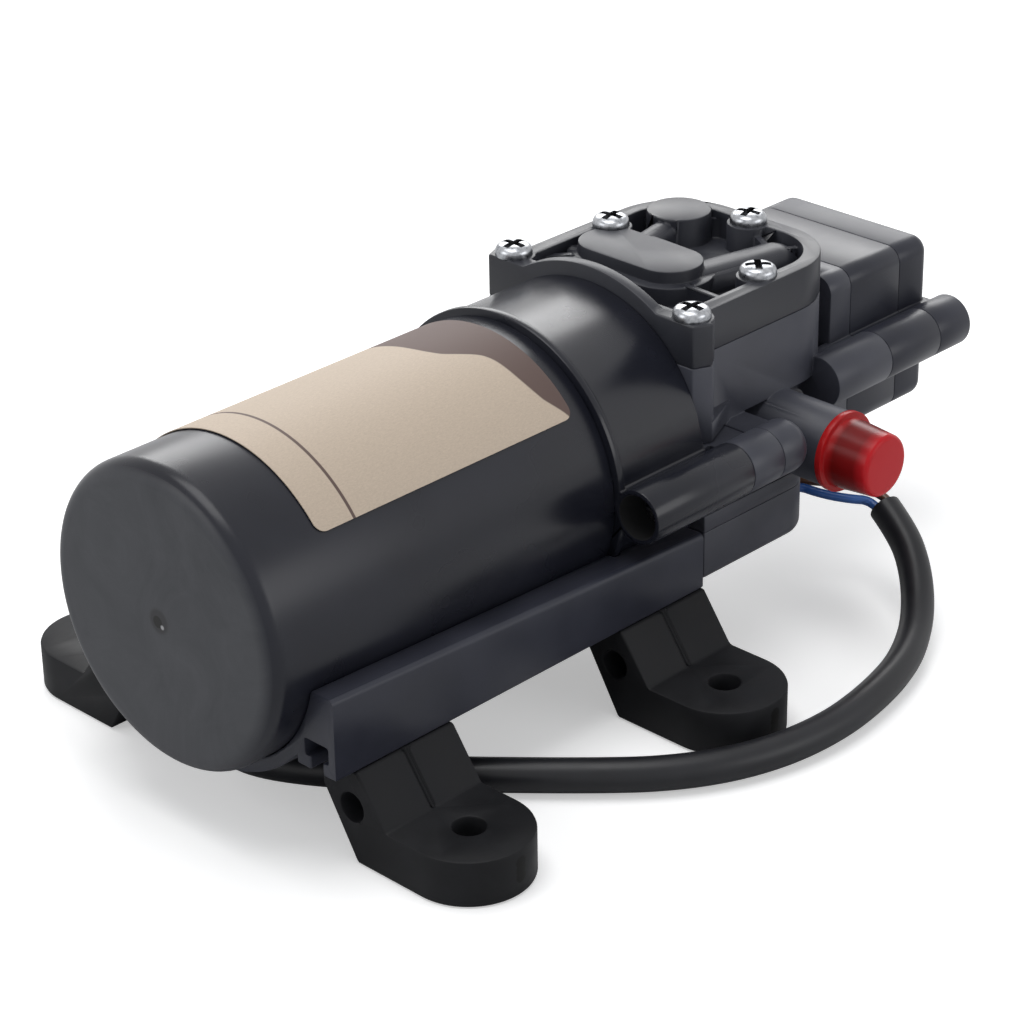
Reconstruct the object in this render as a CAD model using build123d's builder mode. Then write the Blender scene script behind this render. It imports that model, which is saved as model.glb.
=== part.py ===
from build123d import *
import os
from math import atan2, degrees, pi, radians, sin, sqrt, tan

os.makedirs("parts", exist_ok=True)

# A small twelve volt diaphragm pump for fresh water: a motor under a plastic cover, a drive bracket,
# a pump head with a screwed cover, a pressure switch at the far end, a cradle and four rubber feet.
# Sizes are millimetres. X runs along the motor axis from the motor's closed end to the switch,
# Y to the left port and Z up from the mounting surface. Along X the pieces are laid out from the
# closed end, and saved with the origin under the middle of the pump. The cable's routes are laid out
# from that origin.

# Driving sizes
motor_radius = 25.0
motor_length = 72.65
bracket_length = 20.75
bracket_step = 0.6
head_length = 43.6
head_half_width = 20.2
head_corner_radius = 13.0
cover_height = 7.4
switch_flange_length = 5.5
switch_housing_length = 13.5
cradle_wall = 1.7
ground_clearance = 7.8
foot_height = 15.9
foot_width = 20.2

# Clearances and allowances that many pieces share
running_gap = 0.03
press_gap = 0.02
slide_gap = 0.15
seat_gap = 0.1
screw_gap = 0.1
screw_tip_gap = 0.5
overrun = 1.0

# Working parts above the motor axis, one on top of the other
crank_offset = 1.3
rod_length = 8.2
piston_thickness = 1.9
diaphragm_gap = 0.3
diaphragm_thickness = 1.4
valve_plate_thickness = 3.3
crank_plate_gap = 0.7
crank_thickness = 3.8
rod_side_gap = 0.3
rod_width = 4.8
diaphragm_margin = 4.9
chamber_front_wall = 2.0

bracket_radius = motor_radius + bracket_step
cradle_radius = bracket_radius + cradle_wall
axis_height = cradle_radius + ground_clearance
crank_pin_z = axis_height + crank_offset
piston_bottom_z = crank_pin_z + rod_length
piston_top_z = piston_bottom_z + piston_thickness
diaphragm_bottom_z = piston_top_z + diaphragm_gap
diaphragm_top_z = diaphragm_bottom_z + diaphragm_thickness
parting_height = diaphragm_top_z + valve_plate_thickness
cover_top_z = parting_height + cover_height

# Working parts of the pressure switch, one behind the other
switch_diaphragm_thickness = 1.9
plunger_gap = 0.2
plunger_disc_thickness = 1.6
spring_length = 3.9
spring_room = 0.9
retainer_thickness = 1.5
button_gap = 0.5
button_length = 1.2
micro_length = 9.0
switch_end_wall = 1.3

bracket_start_x = motor_length
head_front_x = motor_length + bracket_length
diaphragm_radius = head_half_width - diaphragm_margin
chamber_x = head_front_x + chamber_front_wall + diaphragm_radius
rod_start_x = chamber_x - rod_width / 2
crank_start_x = rod_start_x - rod_side_gap - crank_thickness
plate_boss_end_x = crank_start_x - crank_plate_gap
head_rear_x = head_front_x + head_length
switch_face_x = head_rear_x + switch_flange_length
switch_seam_x = switch_face_x + switch_housing_length
plunger_start_x = switch_face_x + switch_diaphragm_thickness + plunger_gap
plunger_disc_end_x = plunger_start_x + plunger_disc_thickness
retainer_start_x = plunger_disc_end_x + spring_length + spring_room
retainer_end_x = retainer_start_x + retainer_thickness
button_start_x = retainer_end_x + button_gap
micro_start_x = button_start_x + button_length
micro_end_x = micro_start_x + micro_length
switch_end_x = micro_end_x + switch_end_wall


def across(x, y=0, z=0):
    """A plane square to the motor axis, with its own x along +Y and its own y upwards."""
    return Plane(origin=(x, y, z), x_dir=(0, 1, 0), z_dir=(1, 0, 0))


def bar_x(x0, x1, radius, y=0, z=axis_height, mode=Mode.ADD):
    """A round bar or bore along X."""
    with BuildSketch(across(x0, y, z)) as disc:
        Circle(radius)
    extrude(disc.sketch, amount=x1 - x0, mode=mode)


def bar_y(y0, y1, radius, x, z, mode=Mode.ADD):
    """A round bar or bore along Y."""
    with BuildSketch(Plane(origin=(x, y0, z), x_dir=(0, 0, 1), z_dir=(0, 1, 0))) as disc:
        Circle(radius)
    extrude(disc.sketch, amount=y1 - y0, mode=mode)


def bar_z(z0, z1, radius, x, y, mode=Mode.ADD):
    """A round bar or bore along Z."""
    with BuildSketch(Plane.XY.offset(z0)) as disc:
        with Locations((x, y)):
            Circle(radius)
    extrude(disc.sketch, amount=z1 - z0, mode=mode)


def block(x0, x1, y0, y1, z0, z1, mode=Mode.ADD):
    """A plain block between six faces."""
    with BuildSketch(Plane.XY.offset(z0)) as base:
        with Locations(((x0 + x1) / 2, (y0 + y1) / 2)):
            Rectangle(abs(x1 - x0), abs(y1 - y0))
    extrude(base.sketch, amount=z1 - z0, mode=mode)


def arc_band(x0, x1, inner_radius, outer_radius, start_angle, end_angle, mode=Mode.ADD):
    """A part of a tube about the motor axis, between two angles counted from +Y towards +Z."""
    with BuildSketch(across(x0, 0, axis_height)) as band:
        with BuildLine():
            outer = CenterArc((0, 0), outer_radius, start_angle, end_angle - start_angle)
            inner = CenterArc((0, 0), inner_radius, start_angle, end_angle - start_angle)
            Line(outer @ 0, inner @ 0)
            Line(outer @ 1, inner @ 1)
        make_face()
    extrude(band.sketch, amount=x1 - x0, mode=mode)


def prism_x(x0, x1, points, mode=Mode.ADD):
    """A straight-sided section in (y, z), run along X."""
    with BuildSketch(across(x0)) as section:
        with BuildLine():
            Polyline(*points, close=True)
        make_face()
    extrude(section.sketch, amount=x1 - x0, mode=mode)


def prism_z(z0, z1, points, mode=Mode.ADD):
    """A straight-sided outline in (x, y), run upwards."""
    with BuildSketch(Plane.XY.offset(z0)) as outline:
        with BuildLine():
            Polyline(*points, close=True)
        make_face()
    extrude(outline.sketch, amount=z1 - z0, mode=mode)


def both_sides(points):
    """One outline in (x, y) and its mirror image across the motor's middle plane."""
    return [points, [(x, -y) for x, y in points]]


def write(part, name):
    """Name one finished piece and write its own STEP file."""
    part.label = name
    export_step(part, f"parts/{name}.step")


def save(piece, name):
    """Move a piece laid out from the closed end to the origin under the pump's middle, and write it."""
    write(piece.part.moved(Location((-switch_end_x / 2, 0, 0))), name)


# Motor cover: a moulded cup over the motor, with a rounded closed end.
cover_wall = 2.2
cover_end_wall = 2.4
cover_rim_radius = 3.0

with BuildPart() as motor_cover:
    bar_x(0, motor_length, motor_radius)
    fillet(motor_cover.edges().filter_by(GeomType.CIRCLE).sort_by(Axis.X)[:1], cover_rim_radius)
    bar_x(cover_end_wall, motor_length + overrun, motor_radius - cover_wall, mode=Mode.SUBTRACT)
save(motor_cover, "motor_cover")

# Paper label, stuck round the top of the cover.
label_start_x = 14.8
label_margin = 3.85
label_end_x = motor_length - label_margin
label_thickness = 0.15
label_glue = 0.02
label_near_angle = 141.5
label_far_angle = 15.0

with BuildPart() as label:
    arc_band(label_start_x, label_end_x, motor_radius + label_glue,
             motor_radius + label_glue + label_thickness, label_far_angle, label_near_angle)
save(label, "label")

# Motor can: a deep-drawn steel cup with a hub for the rear bush.
can_start_x = cover_end_wall + seat_gap
can_wall = 1.4
can_radius = motor_radius - cover_wall - seat_gap
can_seat_depth = 3.0
can_end_x = bracket_start_x + can_seat_depth
can_bore_radius = can_radius - can_wall
shaft_radius = 2.5
bush_radius = 4.6
bush_length = 5.0
hub_wall = 1.8

with BuildPart() as motor_can:
    bar_x(can_start_x, can_end_x, can_radius)
    bar_x(can_start_x + can_wall, can_end_x + overrun, can_bore_radius, mode=Mode.SUBTRACT)
    bar_x(can_start_x + can_wall, can_start_x + can_wall + bush_length, bush_radius + hub_wall)
    bar_x(can_start_x + can_wall, can_start_x + can_wall + bush_length + overrun,
          bush_radius + press_gap, mode=Mode.SUBTRACT)
save(motor_can, "motor_can")

# Rear bush: sintered bronze, pressed into the can's hub.
with BuildPart() as rear_bush:
    bar_x(can_start_x + can_wall, can_start_x + can_wall + bush_length, bush_radius)
    bar_x(can_start_x, can_end_x, shaft_radius + running_gap, mode=Mode.SUBTRACT)
save(rear_bush, "rear_bush")

# Field magnets: two ferrite arcs glued inside the can, one on each side, longer than the core they face.
magnet_thickness = 3.7
magnet_overhang = 6.0
magnet_arc = 130.0
rear_turn_gap = 7.6
end_turn_length = 5.5
end_turn_gap = 1.5
commutator_length = 9.0
carrier_plate_thickness = 2.4
carrier_inset = 3.25
carrier_plate_x = can_end_x - carrier_inset - carrier_plate_thickness
commutator_start_x = carrier_plate_x - commutator_length
core_start_x = can_start_x + can_wall + bush_length + rear_turn_gap + end_turn_length
core_end_x = commutator_start_x - end_turn_gap - end_turn_length

with BuildPart() as field_magnets:
    for middle_angle in (0, 180):
        arc_band(core_start_x - magnet_overhang, core_end_x + magnet_overhang,
                 can_bore_radius - magnet_thickness,
                 can_bore_radius - press_gap, middle_angle - magnet_arc / 2, middle_angle + magnet_arc / 2)
save(field_magnets, "field_magnets")

# Armature: shaft, slotted core, windings and commutator, all turning together.
shaft_start_x = can_start_x + can_wall + seat_gap
air_gap = 0.7
core_radius = can_bore_radius - magnet_thickness - air_gap
slot_count = 8
slot_pocket_depth = 4.9
slot_pocket_place = core_radius - slot_pocket_depth
tooth_width = 4.0
slot_pocket_radius = slot_pocket_place * sin(pi / slot_count) - tooth_width / 2
slot_mouth = 1.6
winding_gap = 0.15
end_turn_inner_radius = 6.6
end_turn_step = 1.7
end_turn_outer_radius = core_radius - end_turn_step
end_turn_rounding = 2.0
commutator_radius = 6.2
segment_slit = 0.5
segment_slit_depth = 0.6

with BuildPart() as armature_core:
    with BuildSketch(across(core_start_x, 0, axis_height)):
        Circle(core_radius)
        Circle(shaft_radius + press_gap, mode=Mode.SUBTRACT)
        with PolarLocations(slot_pocket_place, slot_count):
            Circle(slot_pocket_radius, mode=Mode.SUBTRACT)
        with PolarLocations((slot_pocket_place + core_radius) / 2, slot_count):
            Rectangle(core_radius - slot_pocket_place + overrun, slot_mouth, mode=Mode.SUBTRACT)
    extrude(amount=core_end_x - core_start_x)
save(armature_core, "armature_core")

with BuildPart() as armature_windings:
    end_turn_radius = (end_turn_inner_radius + end_turn_outer_radius) / 2
    for turn_start_x in (core_start_x - end_turn_length, core_end_x):
        with BuildSketch(Plane.XY.offset(axis_height)) as end_turn:
            with Locations((turn_start_x + end_turn_length / 2, end_turn_radius)):
                RectangleRounded(end_turn_length, end_turn_outer_radius - end_turn_inner_radius,
                                 end_turn_rounding)
        revolve(end_turn.sketch, axis=Axis((0, 0, axis_height), (1, 0, 0)))
    with BuildSketch(across(core_start_x - end_turn_length / 2, 0, axis_height)) as slot_fill:
        with PolarLocations(slot_pocket_place, slot_count):
            Circle(slot_pocket_radius - winding_gap)
    extrude(slot_fill.sketch, amount=core_end_x - core_start_x + end_turn_length)
save(armature_windings, "armature_windings")

with BuildPart() as commutator:
    with BuildSketch(across(commutator_start_x, 0, axis_height)):
        Circle(commutator_radius)
        Circle(shaft_radius + press_gap, mode=Mode.SUBTRACT)
        with PolarLocations(commutator_radius, slot_count):
            Rectangle(segment_slit_depth * 2, segment_slit, mode=Mode.SUBTRACT)
    extrude(amount=commutator_length)
save(commutator, "commutator")

# Brush gear: a plastic ring inside the can's mouth, with a carbon brush above and below.
brush_length = 5.4
brush_width = 4.0
brush_start_x = commutator_start_x + seat_gap
brush_tube_wall = 1.2
brush_tube_magnet_gap = 1.4
brush_tube_end_radius = can_bore_radius - magnet_thickness - brush_tube_magnet_gap
brush_tube_end_wall = 1.2
brush_tube_gap = 2.4
brush_tube_start_radius = commutator_radius + brush_tube_gap
carrier_edge_gap = 0.3
brush_spring_length = 2.3
brush_spring_radius = 1.4
spring_seat_radius = brush_tube_end_radius - brush_tube_end_wall
brush_end_radius = spring_seat_radius - brush_spring_length

with BuildPart() as brush_carrier:
    bar_x(carrier_plate_x, carrier_plate_x + carrier_plate_thickness, can_bore_radius - carrier_edge_gap)
    bar_x(carrier_plate_x, carrier_plate_x + carrier_plate_thickness, brush_tube_start_radius,
          mode=Mode.SUBTRACT)
    for side in (1, -1):
        block(brush_start_x - brush_tube_wall, carrier_plate_x,
              -brush_width / 2 - brush_tube_wall, brush_width / 2 + brush_tube_wall,
              axis_height + side * brush_tube_start_radius, axis_height + side * brush_tube_end_radius)
        block(brush_start_x - seat_gap, brush_start_x + brush_length + seat_gap,
              -brush_width / 2 - seat_gap, brush_width / 2 + seat_gap,
              axis_height + side * (brush_tube_start_radius - overrun),
              axis_height + side * spring_seat_radius, mode=Mode.SUBTRACT)
save(brush_carrier, "brush_carrier")

with BuildPart() as brushes:
    for side in (1, -1):
        block(brush_start_x, brush_start_x + brush_length, -brush_width / 2, brush_width / 2,
              axis_height + side * (commutator_radius + running_gap),
              axis_height + side * brush_end_radius)
save(brushes, "brushes")

with BuildPart() as brush_springs:
    for side in (1, -1):
        bar_z(axis_height + side * brush_end_radius, axis_height + side * spring_seat_radius,
              brush_spring_radius, brush_start_x + brush_length / 2, 0)
save(brush_springs, "brush_springs")

# Side bosses: the long screws that clamp bracket, bearing plate and pump body run in them.
boss_side_reach = 9.4
boss_y = head_half_width + boss_side_reach
boss_radius = 4.6
boss_web_half_height = 3.2
bracket_boss_overhang = 2.6
bracket_boss_end_x = head_front_x + bracket_boss_overhang
body_boss_length = 7.3
body_boss_end_x = plate_boss_end_x + body_boss_length
long_screw_radius = 1.8
long_head_radius = 3.3
long_counterbore_radius = 3.7
long_counterbore_depth = 6.5

# Drive bracket: the moulded drum between the motor and the head.
bracket_lip_reach = 0.6
bracket_lip_length = 1.5
can_stop_width = 2.3
bracket_cavity_radius = can_radius - can_stop_width
bracket_end_wall = 5.4
shaft_hole_gap = 0.9
shaft_hole_radius = shaft_radius + shaft_hole_gap
base_screw_inset = 9.35
base_screw_x = bracket_start_x + base_screw_inset
base_screw_radius = 1.4
base_screw_y = 9.0
base_pad_drop = 0.2
base_pad_bottom_z = ground_clearance - base_pad_drop
base_screw_reach = 7.2
base_screw_top_z = base_pad_bottom_z + base_screw_reach

with BuildPart() as drive_bracket:
    bar_x(bracket_start_x, head_front_x, bracket_radius)
    bar_x(bracket_start_x, bracket_start_x + bracket_lip_length, bracket_radius + bracket_lip_reach)
    for side in (1, -1):
        bar_x(bracket_start_x, bracket_boss_end_x, boss_radius, y=side * boss_y)
        block(bracket_start_x, head_front_x, side * bracket_cavity_radius, side * boss_y,
              axis_height - boss_web_half_height, axis_height + boss_web_half_height)
    bar_x(bracket_start_x, bracket_start_x + can_seat_depth, can_radius + seat_gap, mode=Mode.SUBTRACT)
    bar_x(bracket_start_x, head_front_x - bracket_end_wall, bracket_cavity_radius, mode=Mode.SUBTRACT)
    bar_x(bracket_start_x, head_front_x, shaft_hole_radius, mode=Mode.SUBTRACT)
    for side in (1, -1):
        bar_x(bracket_start_x, bracket_start_x + long_counterbore_depth, long_counterbore_radius,
              y=side * boss_y, mode=Mode.SUBTRACT)
        bar_x(bracket_start_x, bracket_boss_end_x, long_screw_radius + screw_gap,
              y=side * boss_y, mode=Mode.SUBTRACT)
    for screw_y in (base_screw_y, -base_screw_y):
        bar_z(0, base_screw_top_z, base_screw_radius + screw_gap, base_screw_x, screw_y,
              mode=Mode.SUBTRACT)
save(drive_bracket, "drive_bracket")

# Bearing plate: carries the front ball bearing in a hub that reaches up into the pump body.
plate_rise = 2.7
plate_top_z = axis_height + plate_rise
box_side_reach = 4.2
box_half_width = head_half_width + box_side_reach
bearing_radius = 8.0
bearing_width = 5.0
bearing_wall = 2.0
hub_radius = bearing_radius + bearing_wall
hub_shoulder = 1.2
wire_box_top_z = axis_height - hub_radius - seat_gap

with BuildPart() as bearing_plate:
    block(head_front_x, plate_boss_end_x, -box_half_width, box_half_width, wire_box_top_z, plate_top_z)
    bar_x(head_front_x, head_front_x + bearing_width + hub_shoulder, hub_radius)
    for side in (1, -1):
        bar_x(bracket_boss_end_x, plate_boss_end_x, boss_radius, y=side * boss_y)
        block(bracket_boss_end_x, plate_boss_end_x, side * (box_half_width - overrun), side * boss_y,
              axis_height - boss_web_half_height, plate_top_z)
        bar_x(head_front_x, plate_boss_end_x, long_screw_radius + screw_gap,
              y=side * boss_y, mode=Mode.SUBTRACT)
    bar_x(head_front_x, head_front_x + bearing_width, bearing_radius + press_gap, mode=Mode.SUBTRACT)
    bar_x(head_front_x, plate_boss_end_x, shaft_hole_radius, mode=Mode.SUBTRACT)
save(bearing_plate, "bearing_plate")

with BuildPart() as front_bearing:
    bar_x(head_front_x, head_front_x + bearing_width, bearing_radius)
    bar_x(head_front_x, head_front_x + bearing_width, shaft_radius + running_gap, mode=Mode.SUBTRACT)
save(front_bearing, "front_bearing")

# Crank: a round hub on the shaft's end, with the pin that drives the connecting rod off its centre.
crank_radius = 6.4
crank_pin_radius = 2.5
crank_end_wall = 1.0
shaft_end_x = crank_start_x + crank_thickness - crank_end_wall
crank_pin_end_x = rod_start_x + rod_width

with BuildPart() as motor_shaft:
    bar_x(shaft_start_x, shaft_end_x, shaft_radius)
save(motor_shaft, "motor_shaft")

with BuildPart() as crank:
    bar_x(crank_start_x, crank_start_x + crank_thickness, crank_radius)
    bar_x(crank_start_x + crank_thickness, crank_pin_end_x, crank_pin_radius, z=crank_pin_z)
    bar_x(crank_start_x, shaft_end_x, shaft_radius + press_gap, mode=Mode.SUBTRACT)
save(crank, "crank")

# Connecting rod: its eye holds the crank bearing, and its disc drives the diaphragm from below.
crank_bearing_radius = 6.5
crank_bearing_width = 4.0
rod_eye_wall = 2.1
rod_eye_radius = crank_bearing_radius + rod_eye_wall
rod_neck_half_width = 5.0
diaphragm_clamp_width = 2.7
chamber_radius = diaphragm_radius - diaphragm_clamp_width
stroke_side_room = 0.8
piston_radius = chamber_radius - crank_offset - stroke_side_room

with BuildPart() as crank_bearing:
    bar_x(chamber_x - crank_bearing_width / 2, chamber_x + crank_bearing_width / 2,
          crank_bearing_radius, z=crank_pin_z)
    bar_x(rod_start_x, crank_pin_end_x, crank_pin_radius + running_gap, z=crank_pin_z,
          mode=Mode.SUBTRACT)
save(crank_bearing, "crank_bearing")

with BuildPart() as connecting_rod:
    bar_x(rod_start_x, rod_start_x + rod_width, rod_eye_radius, z=crank_pin_z)
    block(rod_start_x, rod_start_x + rod_width, -rod_neck_half_width, rod_neck_half_width,
          crank_pin_z, piston_top_z)
    bar_z(piston_bottom_z, piston_top_z, piston_radius, chamber_x, 0)
    bar_x(rod_start_x, rod_start_x + rod_width, crank_bearing_radius + press_gap, z=crank_pin_z,
          mode=Mode.SUBTRACT)
save(connecting_rod, "connecting_rod")

# Diaphragm: a rubber disc with a raised roll and a bead, clamped under the valve plate.
roll_radius = 0.7
roll_place = (piston_radius + chamber_radius) / 2

with BuildPart() as diaphragm:
    bar_z(diaphragm_bottom_z, diaphragm_top_z, diaphragm_radius, chamber_x, 0)
    with BuildSketch(Plane.XZ) as roll:
        with Locations((chamber_x + roll_place, diaphragm_top_z)):
            Circle(roll_radius)
    revolve(roll.sketch, axis=Axis((chamber_x, 0, 0), (0, 0, 1)))
save(diaphragm, "diaphragm")

# Valve plate: a round plate above the diaphragm, with a ring of ports and a rubber valve for each way.
dish_depth = 1.3
valve_shift = 0.5
valve_x = chamber_x + valve_shift
outlet_valve_inset = 4.4
outlet_valve_y = chamber_radius - outlet_valve_inset
inlet_valve_y = -3.0
valve_disc_radius = 3.1
valve_disc_thickness = 0.8
valve_port_radius = 0.8
valve_port_place = 2.1
valve_port_count = 5
valve_stem_radius = 0.8
valve_knob_radius = 1.2
valve_knob_length = 1.0
dish_top_z = diaphragm_top_z + dish_depth

with BuildPart() as valve_plate:
    bar_z(diaphragm_top_z, parting_height, diaphragm_radius, chamber_x, 0)
    bar_z(diaphragm_top_z, dish_top_z, chamber_radius, chamber_x, 0, mode=Mode.SUBTRACT)
    for valve_y in (outlet_valve_y, inlet_valve_y):
        bar_z(dish_top_z, parting_height, valve_stem_radius + seat_gap, valve_x, valve_y,
              mode=Mode.SUBTRACT)
        with BuildSketch(Plane.XY.offset(dish_top_z)) as ports:
            with Locations((valve_x, valve_y)):
                with PolarLocations(valve_port_place, valve_port_count):
                    Circle(valve_port_radius)
        extrude(ports.sketch, amount=parting_height - dish_top_z, mode=Mode.SUBTRACT)
save(valve_plate, "valve_plate")


def rubber_valve(seat_z, opening_way, valve_y):
    """A mushroom valve: a disc on its seat, a stem through the plate and a knob that holds it."""
    plate_thickness = parting_height - dish_top_z
    knob_z = seat_z - opening_way * plate_thickness
    bar_z(seat_z, seat_z + opening_way * valve_disc_thickness, valve_disc_radius, valve_x, valve_y)
    bar_z(knob_z, seat_z, valve_stem_radius, valve_x, valve_y)
    bar_z(knob_z - opening_way * valve_knob_length, knob_z, valve_knob_radius, valve_x, valve_y)


with BuildPart() as outlet_valve:
    rubber_valve(parting_height, 1, outlet_valve_y)
save(outlet_valve, "outlet_valve")

with BuildPart() as inlet_valve:
    rubber_valve(dish_top_z, -1, inlet_valve_y)
save(inlet_valve, "inlet_valve")

# Head screws: places of the five screws that hold the head cover down.
corner_screw_inset = 3.1
corner_screw_edge = 0.4
side_screw_inset = 23.5
side_screw_edge = 3.8
rear_screw_inset = 3.2
corner_screw_x = head_front_x + corner_screw_inset
corner_screw_y = head_half_width - corner_screw_edge
side_screw_x = head_front_x + side_screw_inset
side_screw_y = head_half_width - side_screw_edge
rear_screw_x = head_rear_x - rear_screw_inset
cover_screw_places = [
    (corner_screw_x, corner_screw_y), (corner_screw_x, -corner_screw_y),
    (side_screw_x, side_screw_y), (side_screw_x, -side_screw_y), (rear_screw_x, 0),
]
cover_screw_radius = 1.3
cover_hole_gap = 0.3
cover_screw_boss_radius = 3.7
cover_screw_reach = 14.5
pan_head_radius = 3.4
spot_face_gap = 0.3
pan_head_height = 2.0
pan_head_rounding = 0.9
cross_width = 0.9
cross_length = 3.8
cross_depth = 1.0

# Front flange of the head, which both the body and the cover share.
flange_reach = 4.0
flange_chamfer = 1.4
flange_thickness = 3.4
flange_outline = [
    (head_front_x, -head_half_width - flange_reach + flange_chamfer),
    (head_front_x, head_half_width + flange_reach - flange_chamfer),
    (head_front_x + flange_thickness, head_half_width + flange_reach),
    (head_front_x + flange_thickness, -head_half_width - flange_reach),
]


def head_layer(z0, z1, inset=0, mode=Mode.ADD):
    """One layer of the head: square at the front, with two large round corners at the rear."""
    with BuildSketch(Plane.XY.offset(z0)) as layer:
        with Locations((head_front_x + head_length / 2, 0)):
            Rectangle(head_length - 2 * inset, 2 * (head_half_width - inset))
        fillet(layer.vertices().group_by(Axis.X)[-1], head_corner_radius - inset)
    extrude(layer.sketch, amount=z1 - z0, mode=mode)


def trim_front(z0, z1):
    """Cut the front screw bosses flush with the front face of the head."""
    block(head_front_x - cover_screw_boss_radius, head_front_x, -head_half_width - flange_reach,
          head_half_width + flange_reach, z0, z1, mode=Mode.SUBTRACT)


# Ports: two hose tails square to the head, low on its sides, with passages up to the cover.
body_step = 3.7
body_half_width = head_half_width - body_step
port_boss_gap = 1.0
port_lid_gap = 0.3
port_hub_radius = 6.6
port_hub_length = 17.1
port_tail_radius = 4.75
port_tail_length = 8.0
port_tail_chamfer = 0.6
port_bore_radius = 3.0
port_x = body_boss_end_x + port_hub_radius + port_boss_gap
port_z = wire_box_top_z + port_hub_radius + port_lid_gap
port_hub_end_y = body_half_width + port_hub_length
port_tail_end_y = port_hub_end_y + port_tail_length
riser_radius = 2.2
outlet_riser_inset = 7.5
outlet_riser_edge = 4.5
inlet_riser_inset = 9.0
inlet_riser_edge = 6.5
outlet_riser_x = head_rear_x - outlet_riser_inset
outlet_riser_y = body_half_width - outlet_riser_edge
inlet_riser_x = head_rear_x - inlet_riser_inset
inlet_riser_y = inlet_riser_edge - body_half_width

# Pump body: the main moulding, with crank case, diaphragm seat, ports and the switch flange.
lid_height = 3.0
body_bottom_z = wire_box_top_z - lid_height
body_floor = 2.1
crank_case_wall = 4.0
crank_case_half_width = body_half_width - crank_case_wall
crank_case_room = 1.2
crank_case_end_x = crank_pin_end_x + crank_case_room
stroke_end_room = 0.6
piston_room_bottom_z = piston_bottom_z - 2 * crank_offset - stroke_end_room
boss_web_length = 6.0
gusset_length = 11.4
gusset_height = 3.4
boss_tip_rounding = 3.0
side_recess_gap = 0.2
side_recess_margin = 4.0
side_recess_start_x = port_x + port_hub_radius - side_recess_gap
side_recess_end_x = head_rear_x - side_recess_margin
side_recess_depth = 1.7
side_recess_floor = 2.5
side_recess_height = 7.3
switch_step = 0.5
switch_half_width = body_half_width - switch_step
switch_drop = 1.0
switch_bottom_z = body_bottom_z - switch_drop
switch_edge_radius = 3.0
switch_boss_reach = 5.0
switch_boss_y = switch_half_width + switch_boss_reach
switch_boss_rise = 1.9
switch_boss_z = axis_height + switch_boss_rise
switch_boss_length = 14.5
switch_boss_start_x = switch_face_x - switch_boss_length
switch_ear_half_height = 2.6
switch_screw_radius = 1.5
switch_hole_wall = 2.5
switch_hole_start_x = switch_boss_start_x + switch_hole_wall
pressure_hole_radius = 1.0
pressure_hole_shift = 1.4
pressure_hole_y = outlet_riser_y - pressure_hole_shift
pressure_room_depth = 1.2
pressure_room_radius = 11.8


def switch_box(x0, x1):
    """One length of the switch box, with rounded long edges."""
    with BuildSketch(across(x0)) as box:
        with Locations((0, (switch_bottom_z + parting_height) / 2)):
            RectangleRounded(2 * switch_half_width, parting_height - switch_bottom_z, switch_edge_radius)
    extrude(box.sketch, amount=x1 - x0)


def switch_ears(x0, x1):
    """The two screw bosses beside the switch box, each on a short web."""
    with BuildSketch(across(x0)) as ears:
        with Locations((switch_boss_y, switch_boss_z), (-switch_boss_y, switch_boss_z)):
            Circle(boss_radius)
        for side in (1, -1):
            with Locations((side * (switch_boss_y + switch_half_width - overrun) / 2, switch_boss_z)):
                Rectangle(switch_boss_y - switch_half_width + overrun, 2 * switch_ear_half_height)
    extrude(ears.sketch, amount=x1 - x0)


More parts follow.
